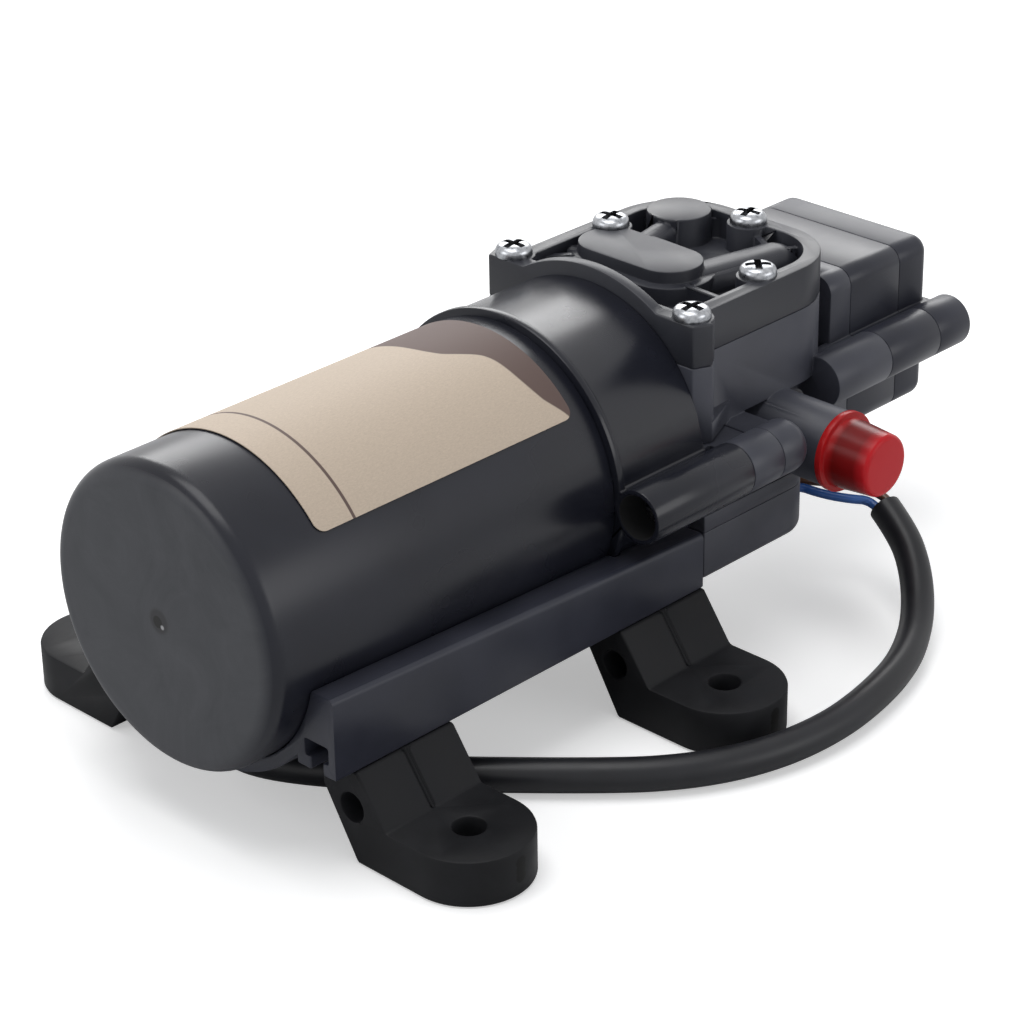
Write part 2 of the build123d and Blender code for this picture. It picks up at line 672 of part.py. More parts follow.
with BuildPart() as pump_body:
    for side in (1, -1):
        bar_x(plate_boss_end_x, body_boss_end_x, boss_radius, y=side * boss_y)
    fillet(pump_body.edges().group_by(Axis.X)[-1], boss_tip_rounding)
    for side in (1, -1):
        block(plate_boss_end_x, plate_boss_end_x + boss_web_length, side * (body_half_width - overrun),
              side * boss_y, axis_height - boss_web_half_height, plate_top_z)
    head_layer(plate_top_z, parting_height)
    prism_z(plate_top_z, parting_height, flange_outline)
    block(plate_boss_end_x, head_rear_x, -body_half_width, body_half_width, body_bottom_z, plate_top_z)
    for gusset in both_sides([
        (head_front_x + flange_thickness, head_half_width - overrun),
        (head_front_x + flange_thickness, head_half_width + flange_reach),
        (head_front_x + flange_thickness + gusset_length, head_half_width - overrun),
    ]):
        prism_z(plate_top_z, plate_top_z + gusset_height, gusset)
    for screw_y in (corner_screw_y, -corner_screw_y):
        bar_z(plate_top_z, parting_height, cover_screw_boss_radius, corner_screw_x, screw_y)
    trim_front(plate_top_z, parting_height)
    switch_box(head_rear_x, switch_face_x)
    switch_ears(switch_boss_start_x, switch_face_x)
    for side in (1, -1):
        bar_y(0, side * port_hub_end_y, port_hub_radius, port_x, port_z)
        bar_y(0, side * port_tail_end_y, port_tail_radius, port_x, port_z)
    tail_tips = pump_body.edges().filter_by(GeomType.CIRCLE).sort_by(Axis.Y)
    chamfer(tail_tips[:1] + tail_tips[-1:], port_tail_chamfer)

    # Room for the hub, the crank, the rod and its disc
    bar_x(head_front_x, head_front_x + bearing_width + hub_shoulder + seat_gap, hub_radius + seat_gap,
          mode=Mode.SUBTRACT)
    block(plate_boss_end_x, crank_case_end_x, -crank_case_half_width, crank_case_half_width,
          body_bottom_z + body_floor, piston_room_bottom_z, mode=Mode.SUBTRACT)
    bar_z(piston_room_bottom_z, diaphragm_bottom_z, chamber_radius, chamber_x, 0, mode=Mode.SUBTRACT)
    bar_z(diaphragm_bottom_z, parting_height, diaphragm_radius + seat_gap, chamber_x, 0,
          mode=Mode.SUBTRACT)

    # Water passages
    for side, riser_x, riser_y in ((1, outlet_riser_x, outlet_riser_y), (-1, inlet_riser_x, inlet_riser_y)):
        bar_y(riser_y, side * port_tail_end_y, port_bore_radius, port_x, port_z, mode=Mode.SUBTRACT)
        bar_x(port_x, riser_x, riser_radius, y=riser_y, z=port_z, mode=Mode.SUBTRACT)
        bar_z(port_z, parting_height, riser_radius, riser_x, riser_y, mode=Mode.SUBTRACT)
    bar_x(outlet_riser_x, switch_face_x, pressure_hole_radius, y=pressure_hole_y, z=switch_boss_z,
          mode=Mode.SUBTRACT)
    bar_x(switch_face_x - pressure_room_depth, switch_face_x, pressure_room_radius,
          z=switch_boss_z, mode=Mode.SUBTRACT)

    # Screw holes
    for screw_x, screw_y in cover_screw_places:
        bar_z(cover_top_z - cover_screw_reach, parting_height, cover_screw_radius + screw_gap,
              screw_x, screw_y, mode=Mode.SUBTRACT)
    for side in (1, -1):
        bar_x(plate_boss_end_x, body_boss_end_x - boss_tip_rounding / 2, long_screw_radius + screw_gap,
              y=side * boss_y, mode=Mode.SUBTRACT)
        bar_x(switch_hole_start_x, switch_face_x, switch_screw_radius + screw_gap,
              y=side * switch_boss_y, z=switch_boss_z, mode=Mode.SUBTRACT)

    # Shallow recesses with round tops, behind the ports
    recess_radius = (side_recess_end_x - side_recess_start_x) / 2
    recess_bottom_z = body_bottom_z + side_recess_floor
    recess_arch_z = recess_bottom_z + side_recess_height - recess_radius
    for side in (1, -1):
        block(side_recess_start_x, side_recess_end_x, side * (body_half_width - side_recess_depth),
              side * (body_half_width + overrun), recess_bottom_z, recess_arch_z, mode=Mode.SUBTRACT)
        bar_y(side * (body_half_width - side_recess_depth), side * (body_half_width + overrun),
              recess_radius, side_recess_start_x + recess_radius, recess_arch_z, mode=Mode.SUBTRACT)
save(pump_body, "pump_body")

# Cover gasket: a flat sheet with a window over each passage.
gasket_thickness = 0.8
gasket_inset = 1.4
gasket_edge_gap = 0.1
gasket_top_z = parting_height + gasket_thickness
passage_start_radius = 3.4
passage_end_radius = 2.8
outlet_passage = ((valve_x, outlet_valve_y), (outlet_riser_x, outlet_riser_y))
inlet_passage = ((valve_x, inlet_valve_y), (inlet_riser_x, inlet_riser_y))


def passage(z0, z1, ends, start_radius, end_radius):
    """A channel from a valve to its riser, cut between two heights."""
    with BuildSketch(Plane.XY.offset(z0)) as channel:
        with Locations(ends[0]):
            Circle(start_radius)
        with Locations(ends[1]):
            Circle(end_radius)
        make_hull()
    extrude(channel.sketch, amount=z1 - z0, mode=Mode.SUBTRACT)


with BuildPart() as cover_gasket:
    head_layer(parting_height, gasket_top_z, gasket_inset)
    for ends in (outlet_passage, inlet_passage):
        passage(parting_height, gasket_top_z, ends, passage_start_radius, passage_end_radius)
    for screw_x, screw_y in cover_screw_places:
        bar_z(parting_height, gasket_top_z, cover_screw_radius + cover_hole_gap,
              screw_x, screw_y, mode=Mode.SUBTRACT)
save(cover_gasket, "cover_gasket")

# Head cover: an open tray with a flat rim, an arch over the bracket, and raised water passages.
rim_width = 3.0
cover_floor = 2.5
arch_rise = 2.4
arch_radius = bracket_radius + arch_rise
arch_top_z = axis_height + arch_radius
arch_thickness = 2.2
oval_y = 4.5
oval_length = 24.4
oval_half_width = 5.8
oval_rise = 0.5
tier_reach = 1.9
tier_drop = 2.2
round_boss_radius = 5.6
neck_width = 4.8
ridge_radius = 4.6
ridge_start_shift = (1.3, -1.6)
ridge_end_shift = (2.2, 1.4)
ridge_start = (valve_x + ridge_start_shift[0], inlet_valve_y + ridge_start_shift[1])
ridge_end = (inlet_riser_x + ridge_end_shift[0], inlet_riser_y + ridge_end_shift[1])
ridge_drop = 1.0
ridge_rounding = 4.0
rib_thickness = 1.2
rib_drop = 1.4
flat_passage_height = 0.9
passage_roof = 2.0
neck_wall = 1.2
ridge_wall = 2.0
boss_top_z = cover_top_z + oval_rise
floor_top_z = parting_height + cover_floor
rib_end_shares = [
    ((0.170, 0.90), (0.285, 0.74)),
    ((0.320, 0.94), (0.345, 0.78)),
    ((0.345, -0.40), (0.335, -0.94)),
    ((0.925, -0.05), (0.850, -0.33)),
    ((0.850, -0.45), (0.950, -0.64)),
    ((0.900, 0.45), (0.960, 0.30)),
]


def straight_rib(start, end, thickness, z0, z1):
    """An upright rib between two points."""
    run_x = end[0] - start[0]
    run_y = end[1] - start[1]
    with BuildSketch(Plane.XY.offset(z0)) as foot:
        with Locations(((start[0] + end[0]) / 2, (start[1] + end[1]) / 2)):
            Rectangle(sqrt(run_x ** 2 + run_y ** 2), thickness, rotation=degrees(atan2(run_y, run_x)))
    extrude(foot.sketch, amount=z1 - z0)


def upright_slot(start, end, radius, z0, z1, mode=Mode.ADD):
    """A wall or boss with round ends, centred on the line between two points."""
    run_x = end[0] - start[0]
    run_y = end[1] - start[1]
    with BuildSketch(Plane.XY.offset(z0)) as slot:
        with Locations(((start[0] + end[0]) / 2, (start[1] + end[1]) / 2)):
            SlotCenterToCenter(sqrt(run_x ** 2 + run_y ** 2), 2 * radius,
                               rotation=degrees(atan2(run_y, run_x)))
    extrude(slot.sketch, amount=z1 - z0, mode=mode)


oval_reach = oval_length / 2 - oval_half_width
oval_start = (valve_x, oval_y - oval_reach)
oval_end = (valve_x, oval_y + oval_reach)

with BuildPart() as head_cover:
    # The ridge over the inlet passage comes first, while its top edge is the only one.
    upright_slot(ridge_start, ridge_end, ridge_radius, parting_height, cover_top_z - ridge_drop)
    fillet(head_cover.edges().group_by(Axis.Z)[-1], ridge_rounding)

    # The tray, with its rim, its front flange and the arch that stands over the bracket
    head_layer(parting_height, floor_top_z)
    with BuildSketch(Plane.XY.offset(floor_top_z)) as rim:
        with Locations((head_front_x + head_length / 2, 0)):
            Rectangle(head_length, 2 * head_half_width)
        fillet(rim.vertices().group_by(Axis.X)[-1], head_corner_radius)
        offset(amount=-rim_width, mode=Mode.SUBTRACT)
    extrude(rim.sketch, amount=cover_top_z - floor_top_z)
    prism_z(parting_height, cover_top_z, flange_outline)
    with BuildSketch(across(head_front_x, 0, axis_height)) as arch:
        Circle(arch_radius)
        with Locations((0, parting_height - axis_height)):
            Rectangle(2 * arch_radius, 2 * arch_radius, align=(Align.CENTER, Align.MIN),
                      mode=Mode.INTERSECT)
    extrude(arch.sketch, amount=arch_thickness)

    # Screw bosses, valve dome, outlet boss with its neck, and the stiffening ribs
    for screw_x, screw_y in cover_screw_places:
        bar_z(parting_height, cover_top_z, cover_screw_boss_radius, screw_x, screw_y)
    trim_front(parting_height, cover_top_z)
    upright_slot(oval_start, oval_end, oval_half_width, floor_top_z, boss_top_z)
    upright_slot(oval_start, oval_end, oval_half_width + tier_reach, floor_top_z, boss_top_z - tier_drop)
    bar_z(floor_top_z, boss_top_z, round_boss_radius, outlet_riser_x, outlet_riser_y)
    upright_slot(outlet_passage[0], outlet_passage[1], neck_width / 2, floor_top_z, boss_top_z)
    for start_share, end_share in rib_end_shares:
        straight_rib((head_front_x + start_share[0] * head_length, start_share[1] * head_half_width),
                     (head_front_x + end_share[0] * head_length, end_share[1] * head_half_width),
                     rib_thickness, floor_top_z, cover_top_z - rib_drop)

    # Underside: the gasket's recess, the flat passages and the deeper ones inside dome, neck and ridge
    head_layer(parting_height, gasket_top_z, gasket_inset - gasket_edge_gap, mode=Mode.SUBTRACT)
    for ends in (outlet_passage, inlet_passage):
        passage(gasket_top_z, gasket_top_z + flat_passage_height, ends,
                passage_start_radius, passage_end_radius)
        bar_z(gasket_top_z, boss_top_z - passage_roof, passage_start_radius, ends[0][0], ends[0][1],
              mode=Mode.SUBTRACT)
    upright_slot(outlet_passage[0], outlet_passage[1], neck_width / 2 - neck_wall, gasket_top_z,
                 boss_top_z - passage_roof, mode=Mode.SUBTRACT)
    bar_z(gasket_top_z, boss_top_z - passage_roof, passage_start_radius, outlet_riser_x, outlet_riser_y,
          mode=Mode.SUBTRACT)
    upright_slot(ridge_start, ridge_end, ridge_radius - ridge_wall, gasket_top_z,
                 cover_top_z - ridge_drop - passage_roof, mode=Mode.SUBTRACT)
    for screw_x, screw_y in cover_screw_places:
        bar_z(parting_height, cover_top_z, cover_screw_radius + cover_hole_gap, screw_x, screw_y,
              mode=Mode.SUBTRACT)
        bar_z(cover_top_z, arch_top_z, pan_head_radius + spot_face_gap, screw_x, screw_y,
              mode=Mode.SUBTRACT)
save(head_cover, "head_cover")


def plain_screws(seats, shank_radius, shank_length, head_radius, head_height):
    """Screws whose heads stand on their seats and whose shanks run back from them."""
    for seat in seats:
        with BuildSketch(seat) as shank:
            Circle(shank_radius)
        extrude(shank.sketch, amount=-shank_length)
        with BuildSketch(seat) as head:
            Circle(head_radius)
        extrude(head.sketch, amount=head_height)


def cross_recesses(seats, head_height):
    """The crosses sunk in the screw heads."""
    for seat in seats:
        with BuildSketch(seat.offset(head_height - cross_depth)) as cross:
            Rectangle(cross_length, cross_width)
            Rectangle(cross_width, cross_length)
        extrude(cross.sketch, amount=cross_depth + overrun, mode=Mode.SUBTRACT)


# Screws: five hold the head cover, two long ones clamp the housings, two hold the switch, two the base.
cover_screw_length = cover_screw_reach - screw_tip_gap
cover_screw_seats = [Plane(origin=(x, y, cover_top_z)) for x, y in cover_screw_places]
long_screw_tip_gap = 0.65
long_screw_end_x = body_boss_end_x - boss_tip_rounding / 2 - long_screw_tip_gap
long_screw_length = long_screw_end_x - bracket_start_x - long_counterbore_depth
long_screw_seats = [
    Plane(origin=(bracket_start_x + long_counterbore_depth, side * boss_y, axis_height),
          x_dir=(0, 1, 0), z_dir=(-1, 0, 0)) for side in (1, -1)
]
switch_head_radius = 2.9
switch_head_height = 1.8
switch_counterbore_depth = 2.4
switch_counterbore_gap = 0.4
switch_screw_length = switch_end_x - switch_counterbore_depth - switch_hole_start_x - screw_tip_gap
switch_screw_seats = [
    Plane(origin=(switch_end_x - switch_counterbore_depth, side * switch_boss_y, switch_boss_z),
          x_dir=(0, 1, 0), z_dir=(1, 0, 0)) for side in (1, -1)
]
base_head_radius = 2.8
base_head_height = 1.6
base_hole_gap = 0.2
base_screw_seats = [
    Plane(origin=(base_screw_x, side * base_screw_y, base_pad_bottom_z), x_dir=(1, 0, 0),
          z_dir=(0, 0, -1)) for side in (1, -1)
]

with BuildPart() as cover_screws:
    plain_screws(cover_screw_seats, cover_screw_radius, cover_screw_length, pan_head_radius,
                 pan_head_height)
    fillet(cover_screws.edges().group_by(Axis.Z)[-1], pan_head_rounding)
    cross_recesses(cover_screw_seats, pan_head_height)
save(cover_screws, "cover_screws")

with BuildPart() as body_screws:
    plain_screws(long_screw_seats, long_screw_radius, long_screw_length, long_head_radius,
                 pan_head_height)
    fillet(body_screws.edges().group_by(Axis.X)[0], pan_head_rounding)
    cross_recesses(long_screw_seats, pan_head_height)
save(body_screws, "body_screws")

with BuildPart() as switch_screws:
    plain_screws(switch_screw_seats, switch_screw_radius, switch_screw_length, switch_head_radius,
                 switch_head_height)
    fillet(switch_screws.edges().group_by(Axis.X)[-1], pan_head_rounding)
    cross_recesses(switch_screw_seats, switch_head_height)
save(switch_screws, "switch_screws")

with BuildPart() as base_screws:
    plain_screws(base_screw_seats, base_screw_radius, base_screw_reach - screw_tip_gap,
                 base_head_radius, base_head_height)
    fillet(base_screws.edges().group_by(Axis.Z)[0], pan_head_rounding)
    cross_recesses(base_screw_seats, base_head_height)
save(base_screws, "base_screws")

# Port caps: soft red transport caps, pushed over the hose tails.
cap_tail_gap = 0.2
cap_wall = 0.4
cap_draft = 0.75
cap_flange_width = 0.85
cap_flange_thickness = 1.2
cap_end_gap = 0.6
cap_end_wall = 1.0
cap_end_rounding = 0.9
cap_end_radius = port_tail_radius + cap_tail_gap + cap_wall
cap_root_radius = cap_end_radius + cap_draft
cap_flange_radius = cap_root_radius + cap_flange_width
cap_start_y = port_hub_end_y + seat_gap
cap_inner_end_y = port_tail_end_y + cap_end_gap
cap_end_y = cap_inner_end_y + cap_end_wall


def port_cap(side):
    """A tapered cap with a rim, closed at its outer end."""
    bar_y(side * cap_start_y, side * (cap_start_y + cap_flange_thickness), cap_flange_radius, port_x, port_z)
    with BuildSketch(Plane(origin=(port_x, side * cap_start_y, port_z), x_dir=(0, 0, 1),
                           z_dir=(0, side, 0))) as root:
        Circle(cap_root_radius)
    taper = degrees(atan2(cap_draft, cap_end_y - cap_start_y))
    extrude(root.sketch, amount=cap_end_y - cap_start_y, taper=taper)


with BuildPart() as port_cap_left:
    port_cap(1)
    fillet(port_cap_left.edges().group_by(Axis.Y)[-1], cap_end_rounding)
    bar_y(cap_start_y, cap_inner_end_y, port_tail_radius + cap_tail_gap, port_x, port_z,
          mode=Mode.SUBTRACT)
save(port_cap_left, "port_cap_left")

with BuildPart() as port_cap_right:
    port_cap(-1)
    fillet(port_cap_right.edges().group_by(Axis.Y)[0], cap_end_rounding)
    bar_y(-cap_start_y, -cap_inner_end_y, port_tail_radius + cap_tail_gap, port_x, port_z,
          mode=Mode.SUBTRACT)
save(port_cap_right, "port_cap_right")

# Pressure switch: water pressure bulges a rubber disc, which pushes a sprung plunger onto a microswitch.
switch_clamp_width = 0.8
switch_diaphragm_radius = pressure_room_radius + switch_clamp_width
plunger_disc_radius = 5.6
plunger_stem_radius = 2.0
stem_guide_gap = 0.15
spring_outer_radius = 4.2
spring_inner_radius = 3.2
plunger_room_radius = 8.0
micro_width = 20.0
micro_height = 6.4
button_half_width = 1.2
button_lap = 0.1
button_well_depth = 2.2

with BuildPart() as switch_diaphragm:
    bar_x(switch_face_x, switch_face_x + switch_diaphragm_thickness, switch_diaphragm_radius,
          z=switch_boss_z)
save(switch_diaphragm, "switch_diaphragm")

with BuildPart() as switch_plunger:
    bar_x(plunger_start_x, plunger_disc_end_x, plunger_disc_radius, z=switch_boss_z)
    bar_x(plunger_disc_end_x, button_start_x - seat_gap, plunger_stem_radius, z=switch_boss_z)
save(switch_plunger, "switch_plunger")

with BuildPart() as switch_spring:
    bar_x(plunger_disc_end_x, plunger_disc_end_x + spring_length, spring_outer_radius, z=switch_boss_z)
    bar_x(plunger_disc_end_x, plunger_disc_end_x + spring_length, spring_inner_radius, z=switch_boss_z,
          mode=Mode.SUBTRACT)
save(switch_spring, "switch_spring")

with BuildPart() as switch_button:
    block(button_start_x, micro_start_x + button_lap, -button_half_width, button_half_width,
          switch_boss_z - button_half_width, switch_boss_z + button_half_width)
save(switch_button, "switch_button")

with BuildPart() as microswitch:
    block(micro_start_x, micro_end_x, -micro_width / 2, micro_width / 2,
          switch_boss_z - micro_height / 2, switch_boss_z + micro_height / 2)
    block(micro_start_x, micro_start_x + button_well_depth,
          -button_half_width - stem_guide_gap, button_half_width + stem_guide_gap,
          switch_boss_z - button_half_width - stem_guide_gap,
          switch_boss_z + button_half_width + stem_guide_gap, mode=Mode.SUBTRACT)
save(microswitch, "microswitch")

# Switch housing and its rear cover: one box in two halves, with a screw boss on each side.
switch_cavity_half_width = micro_width / 2 + seat_gap
switch_rear_rounding = 2.4

with BuildPart() as switch_housing:
    switch_box(switch_face_x, switch_seam_x)
    switch_ears(switch_face_x, switch_seam_x)
    bar_x(switch_face_x, switch_face_x + switch_diaphragm_thickness,
          switch_diaphragm_radius + seat_gap, z=switch_boss_z, mode=Mode.SUBTRACT)
    bar_x(switch_face_x, retainer_start_x, plunger_room_radius, z=switch_boss_z, mode=Mode.SUBTRACT)
    bar_x(switch_face_x, switch_seam_x, plunger_stem_radius + stem_guide_gap, z=switch_boss_z,
          mode=Mode.SUBTRACT)
    block(retainer_end_x, switch_seam_x, -switch_cavity_half_width, switch_cavity_half_width,
          switch_boss_z - micro_height / 2 - seat_gap, switch_boss_z + micro_height / 2 + seat_gap,
          mode=Mode.SUBTRACT)
    for side in (1, -1):
        bar_x(switch_face_x, switch_seam_x, switch_screw_radius + screw_gap, y=side * switch_boss_y,
              z=switch_boss_z, mode=Mode.SUBTRACT)
save(switch_housing, "switch_housing")

with BuildPart() as switch_cover:
    switch_box(switch_seam_x, switch_end_x)
    fillet(switch_cover.edges().group_by(Axis.X)[-1], switch_rear_rounding)
    switch_ears(switch_seam_x, switch_end_x)
    block(switch_seam_x, micro_end_x + seat_gap, -switch_cavity_half_width,
          switch_cavity_half_width, switch_boss_z - micro_height / 2 - seat_gap,
          switch_boss_z + micro_height / 2 + seat_gap, mode=Mode.SUBTRACT)
    for side in (1, -1):
        bar_x(switch_seam_x, switch_end_x, switch_screw_radius + screw_gap, y=side * switch_boss_y,
              z=switch_boss_z, mode=Mode.SUBTRACT)
        bar_x(switch_end_x - switch_counterbore_depth, switch_end_x,
              switch_head_radius + switch_counterbore_gap, y=side * switch_boss_y, z=switch_boss_z,
              mode=Mode.SUBTRACT)
save(switch_cover, "switch_cover")

# Wire box: a tray under the head for the cable's joints, closed by a lid.
box_front_inset = 1.6
box_rear_inset = 13.5
box_height = 9.5
box_start_x = head_front_x + box_front_inset
box_end_x = head_rear_x - box_rear_inset
box_bottom_z = body_bottom_z - box_height
box_corner_radius = 6.0
box_bottom_rounding = 2.5
box_wall = 1.8
box_window_gap = 0.1
wire_radius = 0.8
core_exit_y = 17.5
core_exit_z = 17.3
core_spacing = 2.2
core_hole_gap = 0.1


def box_layer(z0, z1, inset=0, mode=Mode.ADD):
    """One layer of the wire box."""
    with BuildSketch(Plane.XY.offset(z0)) as layer:
        with Locations(((box_start_x + box_end_x) / 2, 0)):
            Rectangle(box_end_x - box_start_x - 2 * inset, 2 * (box_half_width - inset))
        fillet(layer.vertices().group_by(Axis.X)[-1], box_corner_radius - inset)
    extrude(layer.sketch, amount=z1 - z0, mode=mode)


with BuildPart() as wire_box:
    box_layer(box_bottom_z, body_bottom_z)
    fillet(wire_box.edges().group_by(Axis.Z)[0], box_bottom_rounding)
    box_layer(box_bottom_z + box_wall, body_bottom_z, box_wall, mode=Mode.SUBTRACT)
    for core_y in (-core_exit_y, -core_exit_y + core_spacing):
        bar_x(box_end_x - box_corner_radius, box_end_x, wire_radius + core_hole_gap,
              y=core_y, z=core_exit_z, mode=Mode.SUBTRACT)
save(wire_box, "wire_box")

with BuildPart() as wire_box_lid:
    box_layer(body_bottom_z, wire_box_top_z)
    block(plate_boss_end_x - box_window_gap, box_end_x, -body_half_width - box_window_gap,
          body_half_width + box_window_gap, body_bottom_z, wire_box_top_z, mode=Mode.SUBTRACT)
save(wire_box_lid, "wire_box_lid")

# Base cradle: a curved floor under motor and bracket, with a slotted rail along each side.
cradle_start_x = 7.5
cradle_end_inset = 4.2
cradle_end_x = head_front_x - cradle_end_inset
cradle_gap = 0.1
rail_width = 8.2
rail_bottom_z = foot_height + seat_gap
skirt_front_height = 13.6
skirt_rear_height = 9.8
skirt_rounding = 1.0
slot_inner_wall = 1.83
slot_outer_wall = 1.6
slot_width = 5.0
slot_lip = 1.2
slot_floor = 2.2
slot_height = 2.8
slot_bottom_z = rail_bottom_z + slot_floor
slot_top_z = slot_bottom_z + slot_height
slot_inner_y = sqrt((motor_radius + cradle_gap) ** 2 - (axis_height - slot_top_z) ** 2) + slot_inner_wall
slot_outer_y = slot_inner_y + slot_width
slot_mouth_inner_y = slot_inner_y + slot_lip
slot_mouth_outer_y = slot_outer_y - slot_lip
rail_outer_y = slot_outer_y + slot_outer_wall
rail_inner_y = rail_outer_y - rail_width
base_pad_half_length = 4.0

with BuildPart() as base_cradle:
    with BuildSketch(across(cradle_start_x)) as section:
        with Locations((0, axis_height)):
            Circle(cradle_radius)
        for side in (1, -1):
            with Locations((side * (rail_inner_y + rail_outer_y) / 2, (rail_bottom_z + axis_height) / 2)):
                Rectangle(rail_outer_y - rail_inner_y, axis_height - rail_bottom_z)
    extrude(section.sketch, amount=cradle_end_x - cradle_start_x)
    for side in (1, -1):
        block(base_screw_x - base_pad_half_length, base_screw_x + base_pad_half_length,
              side * (base_screw_y - base_pad_half_length), side * (base_screw_y + base_pad_half_length),
              base_pad_bottom_z, rail_bottom_z)
    with BuildSketch(Plane.XZ.offset(-2 * rail_outer_y)) as above_skirt:
        with BuildLine():
            Polyline((cradle_start_x, rail_bottom_z + skirt_front_height),
                     (cradle_end_x, rail_bottom_z + skirt_rear_height),
                     (cradle_end_x, 2 * axis_height), (cradle_start_x, 2 * axis_height), close=True)
        make_face()
    extrude(above_skirt.sketch, amount=4 * rail_outer_y, mode=Mode.SUBTRACT)
    outer_faces = base_cradle.faces().sort_by(Axis.Y)
    fillet([outer_faces[side].edges().sort_by(Axis.Z)[-1] for side in (0, -1)], skirt_rounding)
    bar_x(cradle_start_x, bracket_start_x - cradle_gap, motor_radius + cradle_gap, mode=Mode.SUBTRACT)
    bar_x(bracket_start_x - cradle_gap, bracket_start_x + bracket_lip_length + cradle_gap,
          bracket_radius + bracket_lip_reach + cradle_gap, mode=Mode.SUBTRACT)
    bar_x(bracket_start_x, cradle_end_x, bracket_radius + cradle_gap, mode=Mode.SUBTRACT)
    for side in (1, -1):
        block(cradle_start_x, cradle_end_x, side * slot_inner_y, side * slot_outer_y,
              slot_bottom_z, slot_top_z, mode=Mode.SUBTRACT)
        block(cradle_start_x, cradle_end_x, side * slot_mouth_inner_y, side * slot_mouth_outer_y,
              rail_bottom_z, slot_bottom_z, mode=Mode.SUBTRACT)
        bar_z(base_pad_bottom_z, axis_height, base_screw_radius + base_hole_gap, base_screw_x,
              side * base_screw_y, mode=Mode.SUBTRACT)
save(base_cradle, "base_cradle")

# Feet: four soft rubber feet. A T on top of each slides in the rail; the pad outside has a screw hole.
front_foot_inset = 14.0
rear_foot_inset = 9.9
front_foot_x = cradle_start_x + front_foot_inset
rear_foot_x = cradle_end_x - rear_foot_inset
foot_hole_reach = 13.3
foot_hole_y = rail_outer_y + foot_hole_reach
foot_outer_y = foot_hole_y + foot_width / 2
foot_pad_height = 7.8
foot_pad_inset = 0.4
foot_pad_inner_y = rail_outer_y - foot_pad_inset
foot_slope_reach = 6.0
foot_slope_outer_y = rail_outer_y + foot_slope_reach
foot_top_overhang = 0.2
foot_top_outer_y = rail_outer_y + foot_top_overhang
foot_top_inset = 0.9
foot_top_inner_y = rail_inner_y + foot_top_inset
foot_top_thickness = 4.4
foot_slope_inner_z = foot_height - foot_top_thickness
foot_hole_radius = 2.6
foot_side_hole_radius = 2.4
foot_side_hole_inset = 1.2
foot_side_hole_y = rail_outer_y - foot_side_hole_inset
foot_side_hole_rise = 1.6
foot_side_hole_z = foot_pad_height + foot_side_hole_rise
foot_groove_half_width = 0.35
foot_groove_depth = 0.4


def rubber_foot(middle_x, side):
    """A foot whose pad reaches outwards from the rail, rounded at its outer end."""
    x0 = middle_x - foot_width / 2
    x1 = middle_x + foot_width / 2
    prism_x(x0, x1, [(side * y, z) for y, z in [
        (foot_pad_inner_y, 0), (foot_outer_y, 0), (foot_outer_y, foot_pad_height),
        (foot_slope_outer_y, foot_pad_height), (foot_top_outer_y, foot_height),
        (foot_top_inner_y, foot_height), (foot_top_inner_y, foot_slope_inner_z),
    ]])
    with BuildSketch(Plane.XY) as plan:
        with Locations((middle_x, side * foot_hole_y)):
            Circle(foot_width / 2)
        with Locations((middle_x, side * foot_hole_y / 2)):
            Rectangle(foot_width, foot_hole_y)
    extrude(plan.sketch, amount=foot_height, mode=Mode.INTERSECT)
    block(x0, x1, side * (slot_mouth_inner_y + slide_gap), side * (slot_mouth_outer_y - slide_gap),
          foot_height, slot_bottom_z + slide_gap)
    block(x0, x1, side * (slot_inner_y + slide_gap), side * (slot_outer_y - slide_gap),
          slot_bottom_z + slide_gap, slot_top_z - slide_gap)
    bar_z(0, foot_pad_height, foot_hole_radius, middle_x, side * foot_hole_y, mode=Mode.SUBTRACT)
    bar_x(x0, x1, foot_side_hole_radius, y=side * foot_side_hole_y, z=foot_side_hole_z,
          mode=Mode.SUBTRACT)
    prism_x(middle_x - foot_groove_half_width, middle_x + foot_groove_half_width, [
        (side * y, z) for y, z in [
            (foot_slope_outer_y, foot_pad_height), (foot_top_outer_y, foot_height),
            (foot_top_outer_y - foot_groove_depth, foot_height),
            (foot_slope_outer_y - foot_groove_depth, foot_pad_height),
        ]], mode=Mode.SUBTRACT)


with BuildPart() as foot_front_left:
    rubber_foot(front_foot_x, 1)
save(foot_front_left, "foot_front_left")

with BuildPart() as foot_front_right:
    rubber_foot(front_foot_x, -1)
save(foot_front_right, "foot_front_right")

with BuildPart() as foot_rear_left:
    rubber_foot(rear_foot_x, 1)
save(foot_rear_left, "foot_rear_left")

with BuildPart() as foot_rear_right:
    rubber_foot(rear_foot_x, -1)
save(foot_rear_right, "foot_rear_right")

# Cable: two insulated cores leave the wire box and enter one sheath. It drops to the mounting surface,
# bends round behind the right-hand feet and turns back under the motor.
sheath_radius = 2.8
cord_arc_share = 0.45
sheath_route = [
    (51.15, -32.0, 15.0), (49.45, -37.3, 12.6), (46.65, -42.0, 9.6), (42.55, -46.3, 6.2),
    (36.35, -50.6, 3.7), (27.25, -54.9, 2.9), (15.75, -57.8, 2.9), (3.75, -59.0, 2.9),
    (-8.75, -57.2, 2.9), (-20.25, -52.0, 2.9), (-31.25, -42.6, 2.9), (-65.05, -3.6, 2.9),
    (-64.05, 12.4, 2.9), (-52.25, 23.2, 2.9), (-36.65, 22.8, 2.9), (-22.65, 18.8, 2.9),
]
blue_route = [
    (38.55, -17.5, 17.3), (43.95, -17.5, 17.3), (45.75, -22.4, 16.4), (48.05, -26.6, 16.0),
    (51.1, -29.2, 15.45), (50.37, -31.49, 14.42),
]
